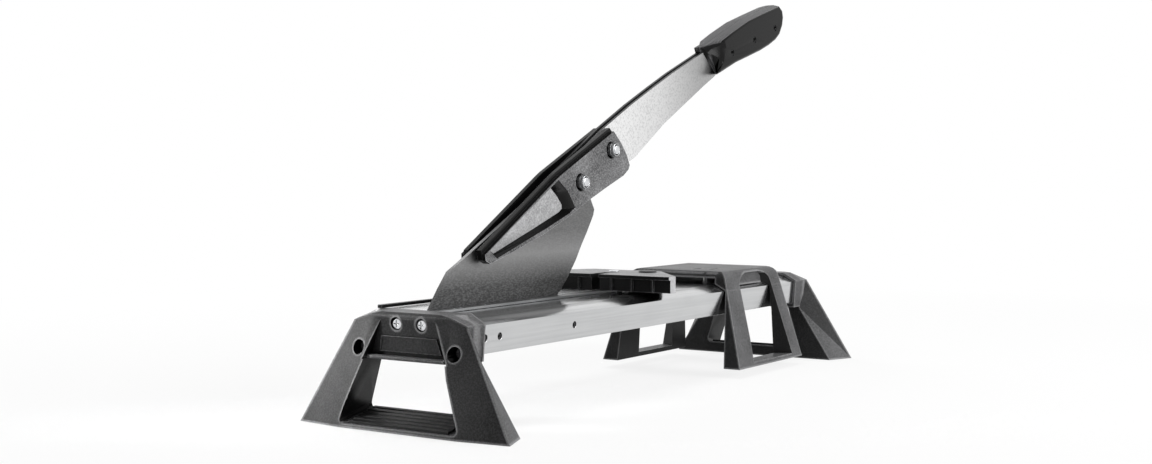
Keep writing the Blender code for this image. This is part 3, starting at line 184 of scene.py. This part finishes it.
def moulded(name, dark, pale, roughness, scale=GRAIN_SCALE, depth=GRAIN_DEPTH, rim=None):
    """Etched plastic: specks over slow patches, painted shade in its hollows and, given a rim, painted
    highlights on its edges.
    """
    made = Finish(name)
    grain = made.noise(scale, 4.0)
    patches = made.noise(scale / 30)
    share = grain.between(0.40, 0.70) * 0.65 + patches.between(0.35, 0.65) * 0.35
    # Painted shade darkens the piece's hollows and corners.
    colour = made.mix(made.hollow_shade(HOLLOW_REACH), dark, made.mix(share, dark, pale))
    # Given a rim colour, painted highlights pale the outer edges.
    if rim:
        colour = made.mix(made.edge(RIM_REACH) * (share * 0.5 + 0.5), colour, rim)
    return made.ready(
        Base_Color=colour,
        Roughness=roughness - grain * 0.12,
        Normal=made.bump(grain, depth),
        Specular_IOR_Level=PLASTIC_SHINE,
    )


def paint(piece, index, wanted):
    """Gives the faces that the test picks the finish at that index."""
    for face in piece.data.polygons:
        if wanted(face):
            face.material_index = index


def looks_in(face, axis, middle):
    """True on the walls that look back towards the middle along an axis."""
    offset = face.center[axis] - middle
    return face.normal[axis] * offset < -0.5 * abs(offset)


def smooth(bm, name, finishes, crease=CREASE_ANGLE):
    """Writes the bmesh to an object whose flats stay flat between rounded edges."""
    mesh = bpy.data.meshes.new(name)
    bm.to_mesh(mesh)
    bm.free()
    for finish in finishes:
        mesh.materials.append(finish)
    mesh.shade_smooth()
    mesh.set_sharp_from_angle(angle=crease)
    made = bpy.data.objects.new(name, mesh)
    bpy.context.collection.objects.link(made)
    made.modifiers.new("Even", "WEIGHTED_NORMAL").keep_sharp = True
    return made


def merged(node):
    """The node's surface as one connected mesh, with its flat faces whole again."""
    bm = bmesh.new()
    bm.from_mesh(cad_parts[node].data)
    bmesh.ops.remove_doubles(bm, verts=bm.verts, dist=MERGE_GAP)
    bmesh.ops.dissolve_limit(
        bm, angle_limit=FLAT_ANGLE, use_dissolve_boundaries=False, verts=bm.verts, edges=bm.edges,
        delimit=set(),
    )
    for face in bm.faces:
        face.material_index = 0
    return bm


def round_edges(bm, radius, index):
    """Rounds the edges that turn sharply, where there is room for the radius on both sides."""
    reach = radius * EDGE_ROOM

    def roomy(edge):
        ends = [e for v in edge.verts for e in v.link_edges]
        sharp = edge.is_manifold and edge.calc_face_angle(0.0) > SHARP_ANGLE
        return sharp and min(e.calc_length() for e in ends) > reach

    bmesh.ops.bevel(
        bm, geom=[e for e in bm.edges if roomy(e)], offset=radius, offset_type="OFFSET", segments=2,
        profile=0.5, affect="EDGES", clamp_overlap=True, material=index,
    )


def dressed(node, body, slot, radius, *finishes):
    """A copy of the node with rounded edges, which a second finish shows where there is one."""
    bm = merged(node)
    round_edges(bm, radius, 1 if len(finishes) > 1 else -1)
    made = smooth(bm, f"{node}_dressed", finishes)
    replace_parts(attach(made, body), node)
    return made


badge_grain = moulded("badge_grain", STAND_DARK, STAND_PALE, 0.5)
stand_grain = moulded("stand_grain", STAND_DARK, STAND_PALE, 0.5, rim=STAND_RIM_HIGHLIGHT)
# The rounded edges take a painted highlight.
stand_rim_highlight = moulded("stand_rim_highlight", STAND_PALE, STAND_RIM_HIGHLIGHT, 0.42)
shaded_inner_wall = moulded("shaded_inner_wall", SHADED_INNER_DARK, SHADED_INNER_PALE, 0.42, GRAIN_SCALE, GRAIN_DEPTH / 3)
lit_flank = moulded("flank_grain", LIT_FLANK_DARK, LIT_FLANK_PALE, 0.46, rim=STAND_RIM_HIGHLIGHT)
for end in ("front", "rear"):
    stand = dressed(
        f"{end}_stand", "base", "moulded_plastic", STAND_EDGE, stand_grain, stand_rim_highlight, shaded_inner_wall, lit_flank
    )
    # Painted shade: walls that look inward take the darker copy.
    paint(stand, 2, lambda face: face.material_index == 0 and looks_in(face, 1, 0.0))
    # Painted shade: so do the walls round the deep screw holes.
    for side in ("near", "far"):
        hole = sum(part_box(f"{end}_deep_screw_{side}"), Vector()) / 2
        paint(
            stand, 2, lambda face: abs(face.normal.x) < FLANK_TURN
            and math.hypot(face.center.y - hole.y, face.center.z - hole.z) < HOLE_REACH
        )
    # Painted light: faces turned from the front take the paler copy.
    paint(stand, 3, lambda face: face.material_index == 0 and abs(face.normal.x) < FLANK_TURN)
dressed("front_badge_plate", "base", "moulded_plastic", STAND_EDGE, badge_grain, stand_rim_highlight)

# Treads and pads
# Soft black rubber: a ribbed strip on each sill and a flat strip under each foot.
# Painted shade darkens the grooves between the ribs.
RUBBER_DARK = (0.005, 0.005, 0.005)
RUBBER_WORN = (0.024, 0.024, 0.0245)
RUBBER_EDGE = 0.0002

rubber = moulded("ribbed_rubber", RUBBER_DARK, RUBBER_WORN, 0.65, GRAIN_SCALE * 1.6)
for end in ("front", "rear"):
    dressed(f"{end}_tread", "base", "rubber", RUBBER_EDGE, rubber)
    dressed(f"{end}_pad", "base", "rubber", RUBBER_EDGE, rubber)

# Screws
# Cross-head screws of bright zinc-plated steel, driven through the stands into the beam's bosses.
# The plate is smooth, with faint clouding, and painted shade keeps the driver's cross dark.
ZINC_PALE = (0.80, 0.81, 0.82)
ZINC_CLOUD = (0.52, 0.53, 0.55)
SCREW_EDGE = 0.00015
CROSS_DEPTH = 0.0025
RECESS_SHADE = (0.020, 0.020, 0.0205)
OXIDE_AND_SHADE = (0.030, 0.030, 0.031)


def metal(name, pale, dark, roughness, scale, stretch=(1.0, 1.0, 1.0), spread=0.12, depth=0.00002):
    """Bare metal with painted shade in its recesses, drawn out along the axes whose stretch is small."""
    made = Finish(name)
    lines = made.noise(scale, 4.0, stretch)
    clouds = made.noise(scale / 25)
    share = lines.between(0.3, 0.7) * 0.6 + clouds.between(0.3, 0.7) * 0.4
    # Painted shade darkens the recesses, such as a screw's cross.
    return made.ready(
        Base_Color=made.mix(made.hollow_shade(CROSS_DEPTH), RECESS_SHADE, made.mix(share, pale, dark)),
        Metallic=1.0,
        Roughness=roughness + lines * spread,
        Normal=made.bump(lines, depth),
    )


def coated(name, colour, roughness, shine):
    """A thin smooth coat with faint slow clouds and no grain."""
    made = Finish(name)
    clouds = made.noise(GRAIN_SCALE / 12)
    paler = tuple(channel * 1.6 for channel in colour)
    return made.ready(
        Base_Color=made.mix(clouds, colour, paler),
        Roughness=roughness + clouds * 0.06,
        Specular_IOR_Level=shine,
    )


zinc = metal("bright_zinc", ZINC_PALE, ZINC_CLOUD, 0.16, 600.0)
# A dark finish: blackened steel on the set screws, painted shade on deep-set screws.
oxide_and_shade = coated("darkened_screw", OXIDE_AND_SHADE, 0.4, 0.3)
for end in ("front", "rear"):
    for side in ("near", "far"):
        dressed(f"{end}_panel_screw_{side}", "base", "zinc", SCREW_EDGE, zinc)
        # Painted shade: the deep screws in their holes take the dark finish.
        dressed(f"{end}_deep_screw_{side}", "base", "zinc", SCREW_EDGE, oxide_and_shade)

# Beam
# A satin aluminium extrusion, open below, with the fine lines of the die along its length.
# Its side holes take the set screws of the blocks inside.
BEAM_EDGE = 0.0005
BEAM_PALE = (0.60, 0.605, 0.61)
BEAM_LINE = (0.50, 0.505, 0.51)
ALONG = (0.02, 1.0, 1.0)

beam_metal = metal("extruded_aluminium", BEAM_PALE, BEAM_LINE, 0.12, 420.0, ALONG, 0.1)
dressed("beam", "base", "aluminium", BEAM_EDGE, beam_metal)

# Table
# Two ground steel strips with a slot between them for the blade, and their flush screws.
# The near strip is the counter blade, and a black rail stands at the far strip's edge.
TABLE_PALE = (0.80, 0.805, 0.81)
TABLE_LINE = (0.62, 0.625, 0.63)
COUNTER_PALE = (0.34, 0.345, 0.35)
COUNTER_LINE = (0.16, 0.165, 0.17)
TABLE_EDGE = 0.0003
BLACK_DARK = (0.003, 0.003, 0.003)
BLACK_PALE = (0.012, 0.012, 0.0122)
BLACK_RIM_HIGHLIGHT = (0.20, 0.20, 0.205)

table_metal = metal("ground_table", TABLE_PALE, TABLE_LINE, 0.2, 700.0, ALONG)
counter_metal = metal("counter_steel", COUNTER_PALE, COUNTER_LINE, 0.26, 700.0, ALONG)
dressed("table_plate", "base", "ground_steel", TABLE_EDGE, table_metal)
dressed("counter_blade", "base", "ground_steel", TABLE_EDGE, counter_metal)
for i in range(1, 5):
    dressed(f"counter_blade_screw_{i}", "base", "zinc", SCREW_EDGE, zinc)
for i in range(1, 3):
    dressed(f"table_plate_screw_{i}", "base", "zinc", SCREW_EDGE, zinc)

satin_black = moulded("satin_black", BLACK_DARK, BLACK_PALE, 0.42, GRAIN_SCALE * 1.3, GRAIN_DEPTH / 3)
# Painted highlight: a paler finish for the rounded edges of black parts.
black_rim_highlight = moulded("satin_black_rim", BLACK_PALE, BLACK_RIM_HIGHLIGHT, 0.36, GRAIN_SCALE, GRAIN_DEPTH / 3)
# The rail's rounded edges take the painted highlight.
dressed("support_rail", "base", "black_plastic", TABLE_EDGE, satin_black, black_rim_highlight)

# Pivot and guide blocks
# Black blocks inside the beam that carry the pivot bolt and keep the blade straight.
# They hold a zinc bolt and nut, two sintered bushes and the set screws, darkened partly as blackened steel
# and partly as painted shade.
BUSH_PALE = (0.42, 0.34, 0.22)
BUSH_DARK = (0.28, 0.22, 0.14)

bush_metal = metal("sintered_bush", BUSH_PALE, BUSH_DARK, 0.4, 1200.0)
for side in ("near", "far"):
    dressed(f"pivot_block_{side}", "base", "black_plastic", BEAM_EDGE, satin_black)
    dressed(f"guide_block_{side}", "base", "black_plastic", BEAM_EDGE, satin_black)
    dressed(f"pivot_bush_{side}", "base", "bush_metal", SCREW_EDGE, bush_metal)
    for i in range(1, 4):
        dressed(f"side_screw_{side}_{i}", "base", "zinc", SCREW_EDGE, oxide_and_shade)
dressed("pivot_bolt", "base", "zinc", SCREW_EDGE, zinc)
dressed("pivot_nut", "base", "zinc", SCREW_EDGE, zinc)

# Blade
# Dark hardened steel, finely brushed, riveted and bolted to the lever.
# Its colour carries a painted reflection: darker at the foot, a light band just above, and mid-grey higher
# up.
BLADE_EDGE = 0.0004
BLADE_REFLECTION_STOPS = ((0.0, 0.045), (0.12, 0.055), (0.34, 0.230), (0.50, 0.130), (1.0, 0.110))
BLADE_RIM = (0.36, 0.363, 0.368)

blade_finish = Finish("brushed_blade")
table_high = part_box("table_plate")[1].z
height = blade_finish.along("Z").between(table_high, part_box("blade")[1].z)
# Painted reflection: dark at the foot, a light band above it, then mid-grey.
painted_reflection = blade_finish.node("ShaderNodeValToRGB", {"stops": BLADE_REFLECTION_STOPS}, {"Fac": height})
brushed = blade_finish.noise(1500.0, 3.0, (0.25, 1.0, 0.6))
blade_metal = blade_finish.ready(
    Base_Color=blade_finish.mix(brushed.between(0.4, 0.7) * 0.22, painted_reflection, BLADE_RIM),
    Metallic=1.0,
    Roughness=0.34 + brushed * 0.12,
    Normal=blade_finish.bump(brushed, 0.00002),
)
dressed("blade", "cutting_arm", "blade_steel", BLADE_EDGE, blade_metal)
dressed("blade_rivet", "cutting_arm", "ground_steel", SCREW_EDGE, zinc)

# Lever
# Two long plates of silver-grey metal with dark cut edges, held apart by a thin black spacer, and painted
# shade on their inner faces.
# Their faces are blasted, with a painted sheen brightest beside the carrier and duller towards the grip.
LEVER_EDGE = 0.0004
LEVER_SHEEN_STOPS = ((0.0, 0.78), (0.45, 0.66), (0.85, 0.44), (1.0, 0.38))
LEVER_SPECK = (0.16, 0.163, 0.168)
LEVER_CUT_AND_SHADE = (0.030, 0.030, 0.0305)
SQUARE_ON = 0.9

lever_finish = Finish("blasted_lever")
carrier_end, grip_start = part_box("carrier_near")[1].x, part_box("handle_shell_near")[0].x
reach = lever_finish.along("X").between(carrier_end, grip_start)
# Painted sheen: bright beside the carrier, duller towards the grip.
sheen = lever_finish.node("ShaderNodeValToRGB", {"stops": LEVER_SHEEN_STOPS}, {"Fac": reach})
blast = lever_finish.noise(520.0, 4.0)
lever_face = lever_finish.ready(
    Base_Color=lever_finish.mix(blast.between(0.46, 0.66) * 0.32, sheen, LEVER_SPECK),
    Metallic=1.0,
    Roughness=0.3 + blast * 0.12,
    Normal=lever_finish.bump(blast, 0.00004),
)
lever_cut_and_shade = coated("dark_cut_edge", LEVER_CUT_AND_SHADE, 0.34, 0.2)
for side in ("near", "far"):
    plate = dressed(f"lever_plate_{side}", "cutting_arm", "aluminium", LEVER_EDGE, lever_face, lever_cut_and_shade)
    # The edges take the dark finish, and so do the inner faces towards the spacer, as painted shade.
    paint(plate, 1, lambda face: abs(face.normal.y) < SQUARE_ON or looks_in(face, 1, 0.0))
dressed("lever_spacer", "cutting_arm", "black_plastic", LEVER_EDGE, lever_cut_and_shade)

# Carriers
# Cheek castings on both sides of the lever, with a speckled grey coat on their outer faces.
# The stepped top and the pocket's walls are glossy black, partly the moulding's own black and partly
# painted shade, and the pocket's floor is paler.
CARRIER_EDGE = 0.0003
COAT_SCALE = 700.0
COAT_DARK = (0.045, 0.045, 0.046)
COAT_PALE = (0.300, 0.300, 0.305)
COAT_RIM_HIGHLIGHT = (0.42, 0.42, 0.43)
FLOOR_DARK = (0.27, 0.27, 0.275)
FLOOR_PALE = (0.66, 0.66, 0.67)
GLOSS = (0.003, 0.003, 0.003)
POCKET_SLACK = 0.0004
POCKET_FLOOR = 0.0025
FLOOR_TURN = 0.99
TOP_TURN = 0.25

coat = moulded("speckled_coat", COAT_DARK, COAT_PALE, 0.46, COAT_SCALE)
# Painted highlight: the paler finish of the carriers' rounded edges.
coat_rim_highlight = coated("coat_rim_highlight", COAT_RIM_HIGHLIGHT, 0.4, PLASTIC_SHINE)
pocket_coat = moulded("pocket_coat", FLOOR_DARK, FLOOR_PALE, 0.46, COAT_SCALE)
gloss_black_and_shade = coated("gloss_black_and_shade", GLOSS, 0.16, PLASTIC_SHINE)
for side in ("near", "far"):
    cheek = dressed(
        f"carrier_{side}", "cutting_arm", "coated_casting", CARRIER_EDGE, coat, coat_rim_highlight, gloss_black_and_shade,
        pocket_coat,
    )
    low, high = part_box(f"carrier_{side}")
    outer = max(abs(low.y), abs(high.y))
    inner = min(abs(low.y), abs(high.y))
    # Painted shade, with the moulding's own black: faces set back from the outer face turn glossy black.
    paint(cheek, 2, lambda face: face.material_index == 0 and abs(face.center.y) < outer - POCKET_SLACK)
    # So do rounded edges that face up, look inward or lie off the outer face.
    paint(
        cheek, 2, lambda face: face.material_index == 1
        and (face.normal.z > TOP_TURN or face.normal.y * face.center.y < 0
             or abs(face.center.y) < outer - CARRIER_EDGE)
    )
    paint(
        cheek, 3, lambda face: face.material_index == 2 and face.normal.y * face.center.y > 0
        and abs(face.normal.y) > FLOOR_TURN and abs(face.center.y) < inner + POCKET_FLOOR
    )

# Bolts and lock nuts of the arm
# M8 zinc bolts from the far side, and lock nuts on the near side.
# Each nut has a rolled collar round a dark nylon ring, and the bolt's end stands out of it.
HEX_HIGH = 0.0050
HEX_CORNER = 0.0075
HEX_CHAMFER = 0.0005
ROLL_RADIUS = 0.0056
ROLL_INNER = 0.0050
ROLL_ROUND = 0.0005
BOLT_RADIUS = 0.0040
BOLT_HOLE = 0.0041
HEAD_SINK = 0.0010
THREAD_PITCH = 0.00125
THREAD_DEPTH = 0.0005
THREAD_LEAD = 0.0004
THREAD_TURNS = 6
NYLON_SINK = 0.0012
NYLON = (0.004, 0.004, 0.0042)
NUT_SHADE_PALE = (0.22, 0.223, 0.227)
NUT_SHADE_DARK = (0.07, 0.071, 0.073)
ROLL_STEPS = 6
RING_STEPS = 40
SHANK_STEPS = 32


def spun(points, steps):
    """An outline of (radius, height) points turned about Z, closed to a ring off the axis."""
    bm = bmesh.new()
    verts = [bm.verts.new((radius, 0.0, height)) for radius, height in points]
    ring = verts[:1] if points[0][0] > 0 else []
    for pair in zip(verts, verts[1:] + ring):
        bm.edges.new(pair)
    bmesh.ops.spin(
        bm, geom=bm.verts[:] + bm.edges[:], cent=(0, 0, 0), axis=(0, 0, 1), angle=math.tau, steps=steps,
        use_merge=True,
    )
    bmesh.ops.remove_doubles(bm, verts=bm.verts, dist=MERGE_GAP)
    bmesh.ops.recalc_face_normals(bm, faces=bm.faces)
    return bm


def hexagon(low, high):
    """A six-sided prism about Z with chamfered rims."""
    bm = bmesh.new()
    bmesh.ops.create_cone(
        bm, cap_ends=True, segments=6, radius1=HEX_CORNER, radius2=HEX_CORNER, depth=high - low,
        matrix=Matrix.Translation((0, 0, (low + high) / 2)),
    )
    rims = [e for e in bm.edges if abs(e.verts[0].co.z - e.verts[1].co.z) < MERGE_GAP]
    bmesh.ops.bevel(
        bm, geom=rims, offset=HEX_CHAMFER, offset_type="OFFSET", segments=2, profile=0.5,
        affect="EDGES", clamp_overlap=True, material=-1,
    )
    return bm


def fitted(bm, node, place, *finishes):
    """Lays the fastener along the arm's cross axis in place of its node."""
    turn = Matrix.Translation(place) @ Matrix.Rotation(math.pi / 2, 4, "X")
    bmesh.ops.transform(bm, matrix=turn, verts=bm.verts)
    made = smooth(bm, f"{node}_dressed", finishes)
    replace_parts(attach(made, "cutting_arm"), node)


def joined(target, other, index):
    """Adds the second bmesh to the first, with the finish at that index."""
    mesh = bpy.data.meshes.new("joined")
    for face in other.faces:
        face.material_index = index
    other.to_mesh(mesh)
    other.free()
    target.from_mesh(mesh)
    bpy.data.meshes.remove(mesh)


nylon = coated("nylon_ring", NYLON, 0.45, 0.3)
# Painted shade: the nut's hex takes a darker copy of the zinc.
shaded_nut_zinc = metal("shaded_zinc", NUT_SHADE_PALE, NUT_SHADE_DARK, 0.24, 600.0)
for i in (1, 2):
    low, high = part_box(f"carrier_nut_{i}")
    centre, rise = (low + high) / 2, high.y - low.y
    nut = hexagon(0.0, HEX_HIGH)
    roll = [(ROLL_INNER, HEX_HIGH / 2), (ROLL_RADIUS, HEX_HIGH / 2)]
    middle, half = (ROLL_RADIUS + ROLL_INNER) / 2, (ROLL_RADIUS - ROLL_INNER) / 2
    for step in range(ROLL_STEPS + 1):
        a = math.pi * step / ROLL_STEPS
        roll.append((middle + half * math.cos(a), rise - ROLL_ROUND * (1 - math.sin(a))))
    joined(nut, spun(roll, RING_STEPS), 1)
    top = rise - NYLON_SINK
    ring = [(BOLT_HOLE, HEX_HIGH / 2), (ROLL_INNER, HEX_HIGH / 2), (ROLL_INNER, top), (BOLT_HOLE, top)]
    joined(nut, spun(ring, RING_STEPS), 2)
    fitted(nut, f"carrier_nut_{i}", (centre.x, high.y, centre.z), shaded_nut_zinc, zinc, nylon)

    bolt_low, bolt_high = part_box(f"carrier_bolt_{i}")
    seat = -high.y
    length = seat - bolt_low.y
    shank = [(0.0, length), (BOLT_RADIUS - THREAD_DEPTH, length)]
    for step in range(2 * THREAD_TURNS + 1):
        radius = BOLT_RADIUS - THREAD_DEPTH * (step % 2)
        shank.append((radius, length - THREAD_LEAD - step * THREAD_PITCH / 2))
    shank += [(BOLT_RADIUS, -HEAD_SINK), (0.0, -HEAD_SINK)]
    bolt = hexagon(seat - bolt_high.y, 0.0)
    joined(bolt, spun(shank, SHANK_STEPS), 0)
    fitted(bolt, f"carrier_bolt_{i}", (centre.x, seat, centre.z), zinc)

# Handle
# Two glossy black shells screwed together round the lever's tail, with a matt ribbed crown coloured paler
# grey as a painted sheen.
# The shells meet in a seam along the crown, and three screws sit deep in the near one.
GRIP_SHINE = 0.09
CROWN_SHEEN_DARK = (0.045, 0.045, 0.046)
CROWN_SHEEN_PALE = (0.170, 0.170, 0.174)
RIB_PITCH = 0.0026
RIB_DEPTH = 0.0003
GRIP_ROUND = 0.0036
GRIP_SLACK = 0.0002
GRIP_CREASE = math.radians(40)
GRIP_STEPS = 8
SCREW_CLEAR = 0.006


def rounded_grip(node):
    """The shell with its outer outline rolled over, clear of the screw holes."""
    bm = merged(node)
    outer = max(abs(v.co.y) for v in bm.verts)
    screws = [sum(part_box(f"handle_screw_{i}"), Vector()) / 2 for i in range(1, 4)]

    def outlines(edge):
        middle = (edge.verts[0].co + edge.verts[1].co) / 2
        clear = all(math.hypot(middle.x - s.x, middle.z - s.z) > SCREW_CLEAR for s in screws)
        outside = all(abs(v.co.y) > outer - GRIP_SLACK for v in edge.verts)
        return clear and outside and edge.is_manifold and edge.calc_face_angle(0.0) > SHARP_ANGLE

    bmesh.ops.bevel(
        bm, geom=[e for e in bm.edges if outlines(e)], offset=GRIP_ROUND, offset_type="OFFSET",
        segments=GRIP_STEPS, profile=0.5, affect="EDGES", clamp_overlap=True, material=-1,
    )
    return bm


grip = Finish("grip_shell")
facing = grip.facing("Y")
crown = facing.math("ABSOLUTE", facing, 0.0).between(0.62, 0.40)
wave = grip.along("Y") * (math.tau / RIB_PITCH)
ribs = wave.math("SINE", wave, 0.0) * crown
speck = grip.noise(GRAIN_SCALE, 3.0)
# Painted sheen: the crown is coloured paler than the glossy black sides.
crown_sheen_colour = grip.mix(ribs.between(-0.2, 0.9) * 0.6 + speck * 0.4, CROWN_SHEEN_DARK, CROWN_SHEEN_PALE)
grip_shell = grip.ready(
    Base_Color=grip.mix(crown, GLOSS, crown_sheen_colour),
    Roughness=0.17 + crown * 0.25,
    Normal=grip.bump(ribs, RIB_DEPTH),
    Specular_IOR_Level=GRIP_SHINE,
)
for side in ("near", "far"):
    node = f"handle_shell_{side}"
    shell = smooth(rounded_grip(node), f"{node}_dressed", (grip_shell,), GRIP_CREASE)
    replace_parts(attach(shell, "cutting_arm"), node)
for i in range(1, 4):
    # Painted shade: the deep-set screws take the dark finish.
    dressed(f"handle_screw_{i}", "cutting_arm", "zinc", SCREW_EDGE, oxide_and_shade)

# Fence
# A black ribbed stop that the plank lies against, with a slot for the blade's tip.
# It swivels on a bright screw, its top carries a painted sheen and its end faces are pale.
FENCE_EDGE = 0.0004
FENCE_END_PALE = (0.62, 0.62, 0.63)
FENCE_TOP_SHEEN_DARK = (0.08, 0.08, 0.082)
FENCE_TOP_SHEEN_PALE = (0.34, 0.34, 0.35)
END_REACH = 0.001

fence_end = moulded("fence_end", FENCE_TOP_SHEEN_PALE, FENCE_END_PALE, 0.4, GRAIN_SCALE, GRAIN_DEPTH / 3)
fence_top_sheen = moulded("fence_top_sheen", FENCE_TOP_SHEEN_DARK, FENCE_TOP_SHEEN_PALE, 0.36, GRAIN_SCALE, GRAIN_DEPTH / 3)
# The fence's rounded edges take the painted highlight.
fence = dressed(
    "fence", "swivel_fence", "black_plastic", FENCE_EDGE, satin_black, black_rim_highlight, fence_top_sheen, fence_end
)
fence_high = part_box("fence")[1]
# Painted sheen: the top faces take the paler top finish.
paint(fence, 2, lambda face: face.normal.z > SQUARE_ON and face.center.z > fence_high.z - FENCE_EDGE)
# The end faces take the pale end finish.
paint(
    fence, 3, lambda face: abs(face.normal.y) > SQUARE_ON
    and abs(face.center.y) > fence_high.y - END_REACH
)
# The disc's rounded edges take the painted highlight.
dressed("fence_disc", "swivel_fence", "black_plastic", SCREW_EDGE, satin_black, black_rim_highlight)
dressed("fence_screw", "base", "zinc", SCREW_EDGE, zinc)

# Bench
# One splayed moulding of the same grained plastic as the stands, which straddles the beam.
# The plank's far end lies on its top, whose corners are rounded and carry a painted highlight.
BENCH_EDGE = 0.0003

bench = dressed(
    "bench", "plank_bench", "moulded_plastic", BENCH_EDGE, stand_grain, stand_rim_highlight, shaded_inner_wall, lit_flank
)
bench_middle = sum(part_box("bench"), Vector()) / 2
# Painted shade: walls that look back into the moulding take the darker inner copy.
for axis in (0, 1):
    paint(
        bench, 2, lambda face: face.material_index == 0 and looks_in(face, axis, bench_middle[axis])
    )
# Painted light: faces turned from the front take the paler lit copy.
paint(bench, 3, lambda face: face.material_index == 0 and abs(face.normal.x) < FLANK_TURN)

# Studio
# A pale floor in a white surround, lit softly by a broad key from the near side, a back light,
# a top light and a narrow fill on the front stand's far leg.
# The camera stands at the photograph's place.
FLOOR_HALF = 6.0
FLOOR_COLOUR = (0.93, 0.93, 0.93)
FLOOR_GLOW = 0.82
GLOW_NEAR = 0.35
GLOW_FAR = 1.3
WHITE = (1.0, 1.0, 1.0)
AMBIENT = 0.18
SEEN_RAYS = ("Is Camera Ray", "Is Glossy Ray", "Is Transmission Ray")
CAMERA_REACH = (-0.8838, -0.7432, 0.200)
CAMERA_TURN = (87.73, 0.0, -56.65)
CAMERA_LENS = 47.03
STAND_BULGE = 0.0060


def seen(tree):
    """1 for the rays that show the surround itself, and 0 for those that light the object."""
    rays = [tree.node("ShaderNodeLightPath", {}, {}, name) for name in SEEN_RAYS]
    total = rays[0] + rays[1] + rays[2]
    return total.math("MINIMUM", total, 1.0)


floor_bm = bmesh.new()
bmesh.ops.create_grid(floor_bm, x_segments=1, y_segments=1, size=FLOOR_HALF)
floor_finish = Finish("pale_floor")
floor_finish.ready(Base_Color=FLOOR_COLOUR, Roughness=0.9)
glow = floor_finish.node("ShaderNodeEmission", {}, {"Color": WHITE})
lit = Value(floor_finish, floor_finish.shader.outputs[0])
away = floor_finish.node("ShaderNodeVectorMath", {"operation": "LENGTH"}, {0: floor_finish.place}, 1)
share = away.between(GLOW_NEAR, GLOW_FAR) * (1 - FLOOR_GLOW) + FLOOR_GLOW
blend = floor_finish.node("ShaderNodeMixShader", {}, {0: seen(floor_finish) * share, 1: lit, 2: glow})
floor_finish.plug(floor_finish.tree.nodes["Material Output"].inputs["Surface"], blend)
floor = smooth(floor_bm, "floor", (floor_finish.material,))
floor.modifiers.clear()

world = bpy.data.worlds.new("surround")
world.use_nodes = True
bpy.context.scene.world = world
surround = Tree(world.node_tree)
background = world.node_tree.nodes["Background"]
surround.plug(background.inputs["Color"], WHITE)
surround.plug(background.inputs["Strength"], seen(surround) * (1 - AMBIENT) + AMBIENT)


def softbox(name, place, aim, size, power, spread=180.0):
    """A soft lamp that the camera doesn't see, with its power in watts and spread in degrees."""
    lamp = bpy.data.lights.new(name, "AREA")
    lamp.shape = "RECTANGLE"
    lamp.size, lamp.size_y = size
    lamp.energy = power
    lamp.spread = math.radians(spread)
    made = bpy.data.objects.new(name, lamp)
    bpy.context.collection.objects.link(made)
    made.visible_camera = False
    made.location = place
    made.rotation_mode = "QUATERNION"
    made.rotation_quaternion = (Vector(aim) - Vector(place)).to_track_quat("-Z", "Y")


softbox("key", (0.35, -2.0, 0.9), (0.0, 0.0, 0.1), (1.4, 1.0), 34.0)
softbox("fill", (-0.90, 0.80, 0.35), (-0.32, 0.10, 0.04), (0.12, 0.12), 0.15, 16.0)
softbox("back", (0.7, 1.9, 0.9), (0.0, 0.0, 0.1), (1.2, 1.0), 16.0)
softbox("top", (0.15, 0.1, 1.9), (0.1, 0.0, 0.0), (1.2, 0.8), 16.0)

front_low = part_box("front_stand")[0]
camera_data = bpy.data.cameras.new("camera")
camera_data.lens = CAMERA_LENS
camera = bpy.data.objects.new("camera", camera_data)
bpy.context.collection.objects.link(camera)
camera.location = Vector((front_low.x + STAND_BULGE, 0.0, 0.0)) + Vector(CAMERA_REACH)
camera.rotation_euler = [math.radians(a) for a in CAMERA_TURN]
bpy.context.scene.camera = camera
bpy.context.scene.view_settings.view_transform = "Standard"
